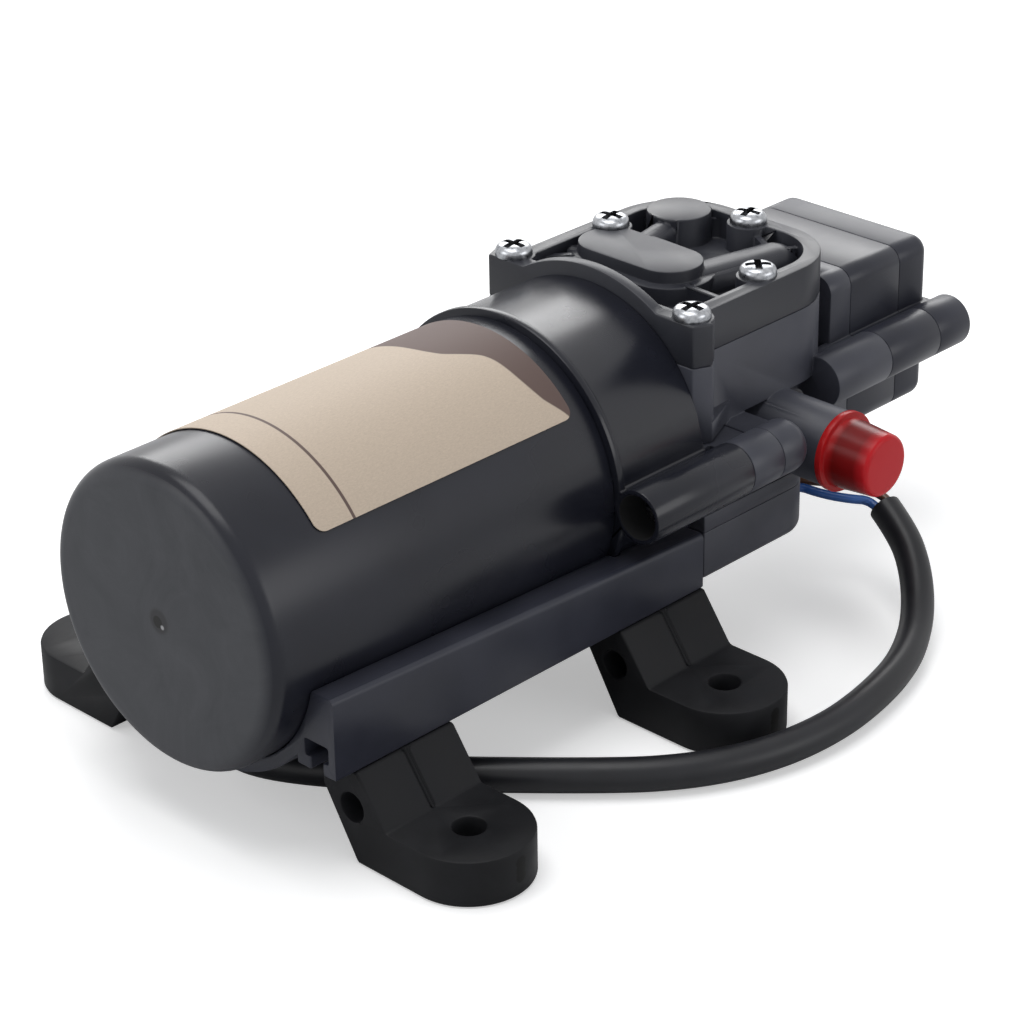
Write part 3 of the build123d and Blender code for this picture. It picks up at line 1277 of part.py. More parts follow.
brown_route = [
    (38.55, -15.3, 17.3), (44.15, -15.3, 17.3), (47.45, -20.0, 17.5), (50.15, -25.4, 17.3),
    (52.66, -30.23, 16.61), (51.93, -32.51, 15.58),
]


def cord(name, route, radius):
    """A round cord along a route: straight runs joined by arcs as large as the runs allow."""
    radii = []
    for before, corner, after in zip(route, route[1:], route[2:]):
        run_in = Vector(*corner) - Vector(*before)
        run_out = Vector(*after) - Vector(*corner)
        half_turn = radians(run_in.get_angle(run_out)) / 2
        radii.append(cord_arc_share * min(run_in.length, run_out.length) / tan(half_turn))
    with BuildLine() as path:
        FilletPolyline(*route, radius=radii)
    with BuildSketch(Plane(origin=path.line @ 0, z_dir=path.line % 0)) as section:
        Circle(radius)
    sweep(section.sketch, path=path.line)
    length = path.wires()[0].length
    print(name, "length", round(length, 1), "radii", [round(r, 1) for r in radii],
          "volume by length", round(pi * radius ** 2 * length, 1))


with BuildPart() as cable_sheath:
    cord("cable_sheath", sheath_route, sheath_radius)
write(cable_sheath.part, "cable_sheath")

with BuildPart() as blue_core:
    cord("blue_core", blue_route, wire_radius)
write(blue_core.part, "blue_core")

with BuildPart() as brown_core:
    cord("brown_core", brown_route, wire_radius)
write(brown_core.part, "brown_core")
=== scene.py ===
import bpy
import bmesh
import itertools
import math
from mathutils import Matrix, Vector
from mathutils.bvhtree import BVHTree


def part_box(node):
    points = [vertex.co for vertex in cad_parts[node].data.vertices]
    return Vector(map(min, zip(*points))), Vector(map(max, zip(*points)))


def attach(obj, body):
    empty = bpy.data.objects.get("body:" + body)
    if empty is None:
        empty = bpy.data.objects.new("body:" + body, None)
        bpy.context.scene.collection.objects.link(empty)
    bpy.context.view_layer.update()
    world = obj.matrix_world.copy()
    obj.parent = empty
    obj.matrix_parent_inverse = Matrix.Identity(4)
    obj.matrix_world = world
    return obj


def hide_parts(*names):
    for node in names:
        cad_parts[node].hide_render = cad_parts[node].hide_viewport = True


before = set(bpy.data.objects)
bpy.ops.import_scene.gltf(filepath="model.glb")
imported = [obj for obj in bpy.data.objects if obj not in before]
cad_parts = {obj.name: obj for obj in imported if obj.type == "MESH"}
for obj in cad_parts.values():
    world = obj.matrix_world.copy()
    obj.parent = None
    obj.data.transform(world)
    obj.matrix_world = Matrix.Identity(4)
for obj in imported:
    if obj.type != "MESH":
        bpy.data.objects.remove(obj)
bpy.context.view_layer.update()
scene = bpy.context.scene
scene.view_settings.view_transform = "Standard"


# Camera: a long lens, looking down on the pump from the closed motor end and the right-hand side.
def new_object(name, data):
    """A new object in the scene."""
    item = bpy.data.objects.new(name, data)
    scene.collection.objects.link(item)
    return item


camera_data = bpy.data.cameras.new("camera")
camera_data.lens = 111.35
camera_data.sensor_width = 36.0
camera_data.clip_start = 0.01
camera_data.clip_end = 20.0
camera = new_object("camera", camera_data)
camera_place = (-0.33836, -0.32528, 0.26093)
camera_axes = Matrix(((0.695474, 0.334626, -0.635878), (-0.718399, 0.305611, -0.624904),
                      (-0.014778, 0.891419, 0.45294)))
camera.matrix_world = Matrix.Translation(camera_place) @ camera_axes.to_4x4()
scene.camera = camera

# Light: a photographer's tent, which is a large soft panel overhead, one behind, one at each side and
# pale walls. The panel behind shines on every flat top.
pump_middle = Vector((0.0, 0.0, 0.03))


def soft_panel(name, place, width, depth, power):
    """A rectangular lamp that faces the pump."""
    lamp = bpy.data.lights.new(name, "AREA")
    lamp.shape = "RECTANGLE"
    lamp.size = width
    lamp.size_y = depth
    lamp.energy = power
    panel = new_object(name, lamp)
    panel.location = place
    panel.rotation_euler = (pump_middle - Vector(place)).to_track_quat("-Z", "Y").to_euler()


soft_panel("overhead_panel", (-0.10, 0.05, 0.85), width=0.6, depth=0.5, power=3.6)
soft_panel("back_panel", (0.60, 0.56, 0.44), width=0.7, depth=0.4, power=4.0)
soft_panel("left_panel", (-0.83, 0.30, 0.45), width=0.5, depth=0.5, power=1.9)
soft_panel("right_panel", (0.27, -0.85, 0.35), width=0.6, depth=0.4, power=1.8)


def feed(tree, node, inputs):
    """Gives a node's inputs their values, or links them to sockets. Colours come without their alpha."""
    for key, value in inputs.items():
        entry = node.inputs[key]
        if isinstance(value, bpy.types.NodeSocket):
            tree.links.new(value, entry)
        elif entry.type == "RGBA":
            entry.default_value = (*value, 1.0)
        else:
            entry.default_value = value
    return node


def add_node(tree, kind, inputs=None, **settings):
    """A new node in a tree, with its settings and what goes into it."""
    node = tree.nodes.new(kind)
    for name, value in settings.items():
        setattr(node, name, value)
    return feed(tree, node, inputs or {})


def maths(tree, operation, *values):
    """What a maths node makes of numbers and sockets."""
    return add_node(tree, "ShaderNodeMath", dict(enumerate(values)), operation=operation).outputs[0]


# The background is white to the camera, in mirror images and through clear things, and dim as a lamp
world = bpy.data.worlds.new("tent")
scene.world = world
world.use_nodes = True
sky = world.node_tree
sky.nodes.clear()
rays = add_node(sky, "ShaderNodeLightPath").outputs
seen = maths(sky, "MAXIMUM", rays["Is Camera Ray"], rays["Is Transmission Ray"])
mirrored = maths(sky, "MAXIMUM", seen, rays["Is Glossy Ray"])
white = add_node(sky, "ShaderNodeBackground", {"Color": (1.0, 1.0, 1.0), "Strength": 1.0})
tent = add_node(sky, "ShaderNodeBackground", {"Color": (0.93, 0.96, 1.0), "Strength": 0.26})
either = add_node(sky, "ShaderNodeMixShader", {"Fac": mirrored, 1: tent.outputs[0], 2: white.outputs[0]})
add_node(sky, "ShaderNodeOutputWorld", {"Surface": either.outputs[0]})

# Table: a plain white sheet that keeps the pump's soft shadow. To the camera it glows a little, and more
# with the distance from the pump, so that its edge is never seen.
table_half = 0.8
table_top = -0.0002
table_mesh = bpy.data.meshes.new("table")
table_corners = ((-table_half, -table_half), (table_half, -table_half), (table_half, table_half),
                 (-table_half, table_half))
table_mesh.from_pydata([(x, y, table_top) for x, y in table_corners], [], [(0, 1, 2, 3)])
table = new_object("table", table_mesh)


def new_material(name, inputs):
    """A material and what goes into its main shader."""
    material = bpy.data.materials.new(name)
    material.use_nodes = True
    feed(material.node_tree, material.node_tree.nodes["Principled BSDF"], inputs)
    return material


def ranged(tree, source, start, end, low, high, interpolation="LINEAR"):
    """A socket's value, with start to end turned into low to high."""
    return add_node(tree, "ShaderNodeMapRange", {
        "Value": source, "From Min": start, "From Max": end, "To Min": low, "To Max": high,
    }, interpolation_type=interpolation).outputs["Result"]


def object_place(tree):
    """The place on the object that is shaded."""
    return add_node(tree, "ShaderNodeTexCoord").outputs["Object"]


table_white = new_material("table_white", {"Base Color": (0.86, 0.86, 0.86), "Roughness": 0.6,
                                           "Specular IOR Level": 0.1})
table_mesh.materials.append(table_white)
table_tree = table_white.node_tree
sheet = table_tree.nodes["Principled BSDF"].outputs[0]
table_reach = add_node(table_tree, "ShaderNodeVectorMath", {0: object_place(table_tree)}, operation="LENGTH")
table_glow = add_node(table_tree, "ShaderNodeEmission", {
    "Strength": ranged(table_tree, table_reach.outputs["Value"], start=0.3, end=0.55, low=0.42, high=1.3)})
table_lit = add_node(table_tree, "ShaderNodeAddShader", {0: sheet, 1: table_glow.outputs[0]})
table_rays = add_node(table_tree, "ShaderNodeLightPath").outputs
table_pick = add_node(table_tree, "ShaderNodeMixShader", {"Fac": table_rays["Is Camera Ray"], 1: sheet,
                                                          2: table_lit.outputs[0]})
feed(table_tree, table_tree.nodes["Material Output"], {"Surface": table_pick.outputs[0]})

# Cable sheath: dark grey PVC tube, 5.6 mm across, bare at its cut end. It leaves the two cores below the
# right-hand port, drops to the table, bends behind the right-hand feet and turns back under the motor.
sheath_route = [
    (51.15, -32.0, 15.0), (49.45, -37.3, 12.6), (46.65, -42.0, 9.6), (42.55, -46.3, 6.2),
    (36.35, -50.6, 3.7), (27.25, -54.9, 2.9), (15.75, -57.8, 2.9), (3.75, -59.0, 2.9),
    (-8.75, -57.2, 2.9), (-20.25, -52.0, 2.9), (-31.25, -42.6, 2.9), (-65.05, -3.6, 2.9),
    (-64.05, 12.4, 2.9), (-52.25, 23.2, 2.9), (-36.65, 22.8, 2.9), (-22.65, 18.8, 2.9),
]


def new_group(name, kind, inputs, outputs):
    """A node group with the kind of each of its sockets, and the nodes at its two ends."""
    group = bpy.data.node_groups.new(name, kind)
    for way, sockets in (("INPUT", inputs), ("OUTPUT", outputs)):
        for label, socket in sockets.items():
            group.interface.new_socket(label, in_out=way, socket_type="NodeSocket" + socket)
    return group, group.nodes.new("NodeGroupInput"), group.nodes.new("NodeGroupOutput")


def noise(tree, place, scale, detail, roughness=0.5, distortion=0.0):
    """The height of a noise texture."""
    return add_node(tree, "ShaderNodeTexNoise", {
        "Vector": place, "Scale": scale, "Detail": detail, "Roughness": roughness, "Distortion": distortion,
    }).outputs["Fac"]


def grain_group():
    """Moulding grain: cloudy larger patches, and their height with that of a fine mottle."""
    group, given, result = new_group("moulding_grain", "ShaderNodeTree",
                                     {"Fine scale": "Float", "Patch scale": "Float"},
                                     {"Patches": "Float", "Height": "Float"})
    place = object_place(group)
    patch_share = 0.3
    fine = noise(group, place, given.outputs["Fine scale"], detail=3.0)
    patches = noise(group, place, given.outputs["Patch scale"], detail=4.0, roughness=0.6)
    both = add_node(group, "ShaderNodeMix", {"Factor": patch_share, "A": fine, "B": patches})
    feed(group, result, {"Patches": patches, "Height": both.outputs["Result"]})
    return group


moulding_grain = grain_group()


def colour_ramp(tree, source, stops, interpolation="LINEAR"):
    """The colours that a ramp gives to a socket's value, from a position and a colour at each stop."""
    ramp = add_node(tree, "ShaderNodeValToRGB", {"Fac": source})
    ramp.color_ramp.interpolation = interpolation
    elements = ramp.color_ramp.elements
    while len(elements) < len(stops):
        elements.new(0.5)
    for element, (position, colour) in zip(elements, stops):
        element.position = position
        element.color = (*colour, 1.0)
    return ramp.outputs["Color"]


def plastic(name, dark, light, roughness, fine_scale=900.0, patch_scale=40.0, bump=0.15, specular=0.5,
            coat=0.0, sheen=0.0):
    """A moulded plastic or rubber: its tone and gloss change in soft patches, over a fine grain."""
    material = new_material(name, {"Specular IOR Level": specular, "Coat Weight": coat, "Coat Roughness": 0.2,
                                   "Sheen Weight": sheen})
    tree = material.node_tree
    grain = add_node(tree, "ShaderNodeGroup", node_tree=moulding_grain)
    feed(tree, grain, {"Fine scale": fine_scale, "Patch scale": patch_scale})
    patches = grain.outputs["Patches"]
    relief = add_node(tree, "ShaderNodeBump", {"Height": grain.outputs["Height"], "Strength": bump,
                                               "Distance": 0.00005})
    feed(tree, tree.nodes["Principled BSDF"], {
        "Base Color": colour_ramp(tree, patches, ((0.38, dark), (0.66, light))),
        "Roughness": ranged(tree, patches, start=0.35, end=0.65, low=roughness[0], high=roughness[1]),
        "Normal": relief.outputs["Normal"],
    })
    return material


def cord_curve(name, route, diameter, material):
    """A smooth round cord that follows a route given in millimetres."""
    curve = bpy.data.curves.new(name, "CURVE")
    curve.dimensions = "3D"
    curve.bevel_depth = diameter / 2
    curve.bevel_resolution = 8
    curve.use_fill_caps = True
    curve.resolution_u = 16
    spline = curve.splines.new("NURBS")
    spline.points.add(len(route) - 1)
    for point, place in zip(spline.points, route):
        point.co = (place[0] / 1000, place[1] / 1000, place[2] / 1000, 1.0)
    spline.order_u = 3
    spline.use_endpoint_u = True
    curve.materials.append(material)
    return new_object(name, curve)


def take_place(piece, body, node):
    """Lets a finished piece ride on its body and stand for a CAD node."""
    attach(piece, body)
    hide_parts(node)


sheath_black = plastic("sheath_black", (0.010, 0.0103, 0.0125), (0.016, 0.0165, 0.0200),
                       roughness=(0.34, 0.46), fine_scale=1400.0, patch_scale=60.0, bump=0.12, specular=0.3)
sheath = cord_curve("cable_tube", sheath_route, diameter=0.0056, material=sheath_black)
take_place(sheath, "housing", "cable_sheath")

# Cable cores: two stranded wires in soft blue and brown insulation, 1.6 mm across. They come out of the
# wire box's rear wall through close holes and go into the sheath side by side.
blue_route = [
    (38.55, -17.5, 17.3), (43.95, -17.5, 17.3), (45.75, -22.4, 16.4), (48.05, -26.6, 16.0),
    (51.1, -29.2, 15.45), (50.37, -31.49, 14.42),
]
brown_route = [
    (38.55, -15.3, 17.3), (44.15, -15.3, 17.3), (47.45, -20.0, 17.5), (50.15, -25.4, 17.3),
    (52.66, -30.23, 16.61), (51.93, -32.51, 15.58),
]
for core_name, core_route, core_dark, core_light in (
        ("blue", blue_route, (0.016, 0.080, 0.30), (0.026, 0.12, 0.40)),
        ("brown", brown_route, (0.075, 0.03, 0.013), (0.12, 0.05, 0.02))):
    insulation = plastic(f"core_{core_name}", core_dark, core_light, roughness=(0.34, 0.44),
                         fine_scale=1600.0, patch_scale=120.0, bump=0.08, coat=0.1)
    core = cord_curve(f"{core_name}_core_wire", core_route, diameter=0.0016, material=insulation)
    take_place(core, "housing", f"{core_name}_core")

# Motor cover: an injection moulded cup in glossy black, with a matt spark-eroded end and a gate mark.
# It is pushed over the motor can and held by the label, the cradle and the bracket's lip.
cover_radius = 0.025
cover_axis_z = 0.0351
cover_end_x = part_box("motor_cover")[0][0]
matt_depth, matt_fade = 0.0001, 0.0008


def baked(piece):
    """The mesh that a piece has with its modifiers."""
    return bpy.data.meshes.new_from_object(piece.evaluated_get(bpy.context.evaluated_depsgraph_get()))


def cut_away(mesh, other):
    """What is left of one closed mesh when another is cut away from it."""
    pair = [new_object("cut", shape) for shape in (mesh, other)]
    cut = pair[0].modifiers.new("cut", "BOOLEAN")
    cut.operation = "DIFFERENCE"
    cut.solver = "EXACT"
    cut.object = pair[1]
    result = baked(pair[0])
    for item in pair:
        bpy.data.objects.remove(item)
    return result


def smooth(piece, angle):
    """Smooth shading, but for edges that turn by more than an angle."""
    piece.data.shade_smooth()
    piece.data.set_sharp_from_angle(angle=math.radians(angle))


def softened(node, body, material, edge=0.00025, cutter=None):
    """A copy of a CAD piece, its triangles merged, its sharp edges rounded, that takes the piece's place."""
    sharp_turn, narrow_corner, widest_gap = 32.0, math.radians(50.0), 1.2 * edge
    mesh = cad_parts[node].data.copy()
    work = bmesh.new()
    work.from_mesh(mesh)
    bmesh.ops.remove_doubles(work, verts=work.verts, dist=0.000001)
    if cutter:
        work.to_mesh(mesh)
        work.free()
        mesh = cut_away(mesh, cutter)
        work = bmesh.new()
        work.from_mesh(mesh)
    bmesh.ops.dissolve_limit(work, angle_limit=math.radians(0.3), verts=work.verts, edges=work.edges)
    # Edges that meet in a narrow or tiny corner stay sharp, because a bevel would spike there
    weights = work.edges.layers.float.new("bevel_weight_edge")
    for line in work.edges:
        line[weights] = float(line.is_manifold and line.calc_face_angle() > math.radians(sharp_turn))
    for corner in work.verts:
        sharp = [line for line in corner.link_edges if line[weights] > 0]
        for line, other in itertools.combinations(sharp, 2):
            way, other_way = (near.other_vert(corner).co - corner.co for near in (line, other))
            if way.angle(other_way, 0.0) < narrow_corner or min(way.length, other_way.length) < edge / 2:
                line[weights] = other[weights] = 0.0
    work.to_mesh(mesh)
    surface = BVHTree.FromBMesh(work)
    work.free()
    piece = new_object(node + "_form", mesh)
    rounding = piece.modifiers.new("rounding", "BEVEL")
    rounding.width = edge
    rounding.segments = 2
    rounding.limit_method = "WEIGHT"
    rounding.use_clamp_overlap = False
    rounding.miter_outer = "MITER_ARC"
    piece.data = baked(piece)
    piece.modifiers.clear()
    # Points that the bevel still threw out are put back on the surface
    for point in piece.data.vertices:
        near, _, _, gap = surface.find_nearest(point.co)
        if gap > widest_gap:
            point.co = near
    smooth(piece, sharp_turn)
    piece.data.materials.clear()
    piece.data.materials.append(material)
    take_place(piece, body, node)


def lay_over(material, entry_name, mask, over):
    """Where a mask is 1, another colour or value takes the place of what goes into the main shader."""
    tree = material.node_tree
    entry = tree.nodes["Principled BSDF"].inputs[entry_name]
    under = entry.links[0].from_socket
    if entry.type == "RGBA":
        mix = add_node(tree, "ShaderNodeMix", {"Factor": mask, 6: under}, data_type="RGBA")
        feed(tree, mix, {7: over})
        tree.links.new(mix.outputs[2], entry)
    else:
        mix = add_node(tree, "ShaderNodeMix", {"Factor": mask, "A": under, "B": over})
        tree.links.new(mix.outputs["Result"], entry)


def mark_group():
    """A round mark: a mask that is 1 within a radius of a point and fades over its edge."""
    group, given, result = new_group("round_mark", "ShaderNodeTree",
                                     {"Centre": "Vector", "Radius": "Float", "Edge": "Float"},
                                     {"Mask": "Float"})
    gap = add_node(group, "ShaderNodeVectorMath", {0: object_place(group), 1: given.outputs["Centre"]},
                   operation="DISTANCE")
    reach = maths(group, "ADD", given.outputs["Radius"], given.outputs["Edge"])
    feed(group, result, {"Mask": ranged(group, gap.outputs["Value"], start=given.outputs["Radius"], end=reach,
                                        low=1.0, high=0.0, interpolation="SMOOTHSTEP")})
    return group


round_mark = mark_group()


def stamp(material, centre, radius, edge, colour):
    """Lays a round mark of another colour over a material."""
    mark = add_node(material.node_tree, "ShaderNodeGroup", node_tree=round_mark)
    feed(material.node_tree, mark, {"Centre": centre, "Radius": radius, "Edge": edge})
    lay_over(material, "Base Color", mark.outputs["Mask"], colour)


cover_black = plastic("cover_black", (0.0095, 0.0102, 0.0158), (0.0142, 0.0152, 0.0230),
                      roughness=(0.24, 0.34), patch_scale=26.0, bump=0.05, specular=0.3)

# The end face is matt: the closer to the end plane, the rougher, with faint scuffs across it
cover_tree = cover_black.node_tree
cover_place = object_place(cover_tree)
cover_along = add_node(cover_tree, "ShaderNodeSeparateXYZ", {0: cover_place}).outputs["X"]
end_mask = ranged(cover_tree, cover_along, start=cover_end_x + matt_depth,
                  end=cover_end_x + matt_depth + matt_fade, low=1.0, high=0.0)
scuffs = noise(cover_tree, cover_place, 60.0, detail=8.0, roughness=0.7, distortion=2.0)
scuff_tone = colour_ramp(cover_tree, scuffs, ((0.35, (0.036, 0.038, 0.044)), (0.75, (0.054, 0.056, 0.063))))
lay_over(cover_black, "Base Color", end_mask, scuff_tone)
lay_over(cover_black, "Roughness", end_mask, 0.52)
# The gate mark: a darker disc, then a near-black spot of painted shade in its dimple, then a pale spot that
# is a painted highlight on the dimple's rim
for gate_y, gate_drop, gate_radius, gate_edge, gate_tone_and_painted_light in (
        (0.0, 0.0, 0.0016, 0.0008, (0.022, 0.022, 0.025)),
        (0.0003, 0.0002, 0.0009, 0.0002, (0.0015, 0.0015, 0.0015)),
        (-0.0007, 0.0008, 0.0002, 0.0003, (0.35, 0.35, 0.36))):
    stamp(cover_black, (cover_end_x, gate_y, cover_axis_z - gate_drop), gate_radius, gate_edge, gate_tone_and_painted_light)
softened("motor_cover", "housing", cover_black, edge=0.0003)

# Label: a brown kraft-paper sticker with round corners, stuck round the top of the cover. It is left
# bare apart from a plain dark band with a wavy edge and one thin rule.
label_start_x, label_end_x = (corner[0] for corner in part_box("label"))
label_near_angle = math.radians(141.5)
label_far_angle = math.radians(15.0)
label_lift = 0.00002
label_thickness = 0.00014
label_corner = 0.0018
label_columns = 72
label_rows = 64


def kraft_paper():
    """Kraft paper: short fibres, soft blotches, a band with a wavy edge and a rule, laid out by UV."""
    material = new_material("kraft_paper", {"Roughness": 0.62, "Specular IOR Level": 0.3})
    tree = material.node_tree
    uv = add_node(tree, "ShaderNodeUVMap", uv_map="sheet").outputs["UV"]
    sheet_place = add_node(tree, "ShaderNodeSeparateXYZ", {0: uv}).outputs
    stretch = add_node(tree, "ShaderNodeMapping", {"Vector": uv, "Scale": (1.0, 2.6, 1.0)})
    fibres = noise(tree, stretch.outputs["Vector"], 95.0, detail=6.0, roughness=0.75, distortion=0.8)
    tan = colour_ramp(tree, fibres, ((0.34, (0.500, 0.410, 0.325)), (0.66, (0.600, 0.500, 0.400))))

    # The band's width along the sheet, as a curve over the way round the motor
    widths = ((0.0, 0.0), (0.08, 0.075), (0.20, 0.102), (0.29, 0.105), (0.36, 0.235), (0.46, 0.255),
              (0.62, 0.262), (0.76, 0.20), (0.88, 0.25), (1.0, 0.2))
    width = colour_ramp(tree, sheet_place["Y"], [(position, (value,) * 3) for position, value in widths],
                        "B_SPLINE")
    to_band = maths(tree, "ADD", sheet_place["X"], width)
    band = ranged(tree, to_band, start=0.998, end=1.003, low=0.0, high=1.0)

    # The rule: a line square to the motor axis, near the closed end
    rule_place, rule_half, rule_fade = 0.132, 0.0042, 0.002
    from_rule = maths(tree, "ABSOLUTE", maths(tree, "SUBTRACT", sheet_place["X"], rule_place))
    rule = ranged(tree, from_rule, start=rule_half, end=rule_half + rule_fade, low=1.0, high=0.0)
    ink = add_node(tree, "ShaderNodeMix", {"Factor": maths(tree, "MAXIMUM", band, rule), 6: tan,
                                           7: (0.115, 0.078, 0.069)}, data_type="RGBA")
    relief = add_node(tree, "ShaderNodeBump", {"Height": fibres, "Strength": 0.1, "Distance": 0.00003})
    feed(tree, tree.nodes["Principled BSDF"], {"Base Color": ink.outputs[2],
                                               "Normal": relief.outputs["Normal"]})
    return material


label_length = label_end_x - label_start_x
label_arc = (label_near_angle - label_far_angle) * cover_radius
label_reach = cover_radius + label_lift + label_thickness
label_points = []
label_uvs = []
for column in range(label_columns + 1):
    share = (1 - math.cos(math.pi * column / label_columns)) / 2
    along = share * label_length
    to_end = min(along, label_length - along)
    inset = 0.0
    if to_end < label_corner:
        inset = label_corner - math.sqrt(label_corner ** 2 - (label_corner - to_end) ** 2)
    for row in range(label_rows + 1):
        round_way = inset + (label_arc - 2 * inset) * row / label_rows
        angle = label_near_angle - round_way / cover_radius
        label_points.append((label_start_x + along, label_reach * math.cos(angle),
                             cover_axis_z + label_reach * math.sin(angle)))
        label_uvs.append((share, round_way / label_arc))
label_faces = []
for column in range(label_columns):
    for row in range(label_rows):
        first = column * (label_rows + 1) + row
        label_faces.append((first, first + 1, first + label_rows + 2, first + label_rows + 1))
label_mesh = bpy.data.meshes.new("label_sheet")
label_mesh.from_pydata(label_points, [], label_faces)
label_layer = label_mesh.uv_layers.new(name="sheet")
for loop in label_mesh.loops:
    label_layer.data[loop.index].uv = label_uvs[loop.vertex_index]
label_mesh.materials.append(kraft_paper())
label_sheet = new_object("label_sheet", label_mesh)
label_body = label_sheet.modifiers.new("paper", "SOLIDIFY")
label_body.thickness = label_thickness
label_body.offset = -1.0
label_sheet.data = baked(label_sheet)
label_sheet.modifiers.clear()
smooth(label_sheet, 40.0)
take_place(label_sheet, "housing", "label")


# Motor can, magnets and rear bush: a deep-drawn steel cup, two ferrite arcs glued inside it and a
# sintered bronze bush pressed into its hub. The cover hides them.
def metal(name, dark, light, roughness, scale, streaks=(1.0, 1.0, 1.0), metallic=1.0):
    """A metal or mineral whose tone and gloss vary in fine streaks or specks."""
    material = new_material(name, {"Metallic": metallic})
    tree = material.node_tree
    stretch = add_node(tree, "ShaderNodeMapping", {"Vector": object_place(tree), "Scale": streaks})
    grain = noise(tree, stretch.outputs["Vector"], scale, detail=5.0)
    relief = add_node(tree, "ShaderNodeBump", {"Height": grain, "Strength": 0.08, "Distance": 0.00002})
    feed(tree, tree.nodes["Principled BSDF"], {
        "Base Color": colour_ramp(tree, grain, ((0.35, dark), (0.65, light))),
        "Roughness": ranged(tree, grain, start=0.0, end=1.0, low=roughness[0], high=roughness[1]),
        "Normal": relief.outputs["Normal"],
    })
    return material


def paint(material, *nodes):
    """Gives CAD pieces their material."""
    for node in nodes:
        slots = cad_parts[node].data.materials
        slots.clear()
        slots.append(material)


drawn_steel = metal("drawn_steel", (0.42, 0.42, 0.43), (0.56, 0.56, 0.57), roughness=(0.28, 0.42),
                    streaks=(0.15, 1.0, 1.0), scale=900.0)
grey_ferrite = metal("grey_ferrite", (0.035, 0.035, 0.038), (0.06, 0.06, 0.064), roughness=(0.55, 0.75),
                     scale=1500.0, metallic=0.0)
sintered_bronze = metal("sintered_bronze", (0.42, 0.27, 0.12), (0.56, 0.38, 0.18), roughness=(0.4, 0.6),
                        scale=2600.0)
paint(drawn_steel, "motor_can")
paint(grey_ferrite, "field_magnets")
paint(sintered_bronze, "rear_bush")

# Armature: a ground steel shaft, a stack of lacquered laminations, enamelled copper coils wound through
# its slots, a copper commutator and the steel crank on the shaft's end. All of it turns as one.
ground_steel = metal("ground_steel", (0.58, 0.58, 0.59), (0.68, 0.68, 0.69), roughness=(0.12, 0.22),
                     streaks=(0.1, 1.0, 1.0), scale=1200.0)
lamination_steel = metal("lamination_steel", (0.20, 0.20, 0.21), (0.34, 0.34, 0.35), roughness=(0.4, 0.55),
                         streaks=(30.0, 0.2, 0.2), scale=110.0)
coil_copper = metal("coil_copper", (0.45, 0.16, 0.06), (0.72, 0.30, 0.13), roughness=(0.22, 0.34),
                    streaks=(22.0, 1.0, 1.0), scale=120.0)
segment_copper = metal("segment_copper", (0.62, 0.31, 0.17), (0.75, 0.42, 0.25), roughness=(0.2, 0.32),
                       streaks=(1.0, 8.0, 8.0), scale=300.0)
paint(ground_steel, "motor_shaft", "crank")
paint(lamination_steel, "armature_core")
paint(coil_copper, "armature_windings")
paint(segment_copper, "commutator")

# Brush gear: a natural nylon ring pressed into the can's mouth, with a box above and below that guides a
# sprung carbon brush onto the commutator.
natural_nylon = plastic("natural_nylon", (0.58, 0.55, 0.46), (0.66, 0.63, 0.54), roughness=(0.36, 0.5),
                        patch_scale=60.0, bump=0.08)
brush_carbon = metal("brush_carbon", (0.018, 0.018, 0.018), (0.035, 0.035, 0.036), roughness=(0.45, 0.65),
                     scale=2400.0, metallic=0.0)
spring_steel = metal("spring_steel", (0.45, 0.45, 0.46), (0.6, 0.6, 0.62), roughness=(0.2, 0.32),
                     scale=1500.0)
paint(natural_nylon, "brush_carrier")
paint(brush_carbon, "brushes")
paint(spring_steel, "brush_springs", "switch_spring")

# Drive bracket: a moulded drum in the same glossy black as the cover. It takes the can's mouth at one
# end, the bearing plate at the other, and has a boss with a deep screw hole on each side.
bracket_black = plastic("bracket_black", (0.0105, 0.0113, 0.0170), (0.0155, 0.0166, 0.0245),
                        roughness=(0.2, 0.32), patch_scale=30.0, bump=0.07, specular=0.3)


def bore_shade_group():
    """Painted shade in a deep hole along X on both sides: a mask that is 1 within a radius of the two axes.
    """
    group, given, result = new_group("bore_shade_mask", "ShaderNodeTree",
                                     {"Side": "Float", "Height": "Float", "Radius": "Float"},
                                     {"Mask": "Float"})
    place = add_node(group, "ShaderNodeSeparateXYZ", {0: object_place(group)}).outputs
    aside = maths(group, "ABSOLUTE", place["Y"])
    point = add_node(group, "ShaderNodeCombineXYZ", {"Y": aside, "Z": place["Z"]})
    axis = add_node(group, "ShaderNodeCombineXYZ", {"Y": given.outputs["Side"], "Z": given.outputs["Height"]})
    gap = add_node(group, "ShaderNodeVectorMath", {0: point.outputs[0], 1: axis.outputs[0]},
                   operation="DISTANCE")
    feed(group, result, {"Mask": maths(group, "LESS_THAN", gap.outputs["Value"], given.outputs["Radius"])})
    return group


bracket_tree = bracket_black.node_tree
bracket_bore_shade = add_node(bracket_tree, "ShaderNodeGroup", node_tree=bore_shade_group())
feed(bracket_tree, bracket_bore_shade, {"Side": 0.0296, "Height": cover_axis_z, "Radius": 0.0038})
# Painted shade: inside the deep screw holes the bracket is painted near black, and made rough
lay_over(bracket_black, "Base Color", bracket_bore_shade.outputs["Mask"], (0.002, 0.002, 0.0025))
lay_over(bracket_black, "Roughness", bracket_bore_shade.outputs["Mask"], 0.85)
softened("drive_bracket", "housing", bracket_black, edge=0.0003)

# Bearing plate and front bearing: the plate is glass-filled nylon, clamped behind the bracket, and its
# hub holds the steel ball bearing.
body_grey = plastic("body_grey", (0.042, 0.0440, 0.0575), (0.062, 0.0645, 0.0820), roughness=(0.36, 0.5),
                    fine_scale=1300.0, patch_scale=45.0, bump=0.16, specular=0.32)
softened("bearing_plate", "housing", body_grey)
paint(ground_steel, "front_bearing")

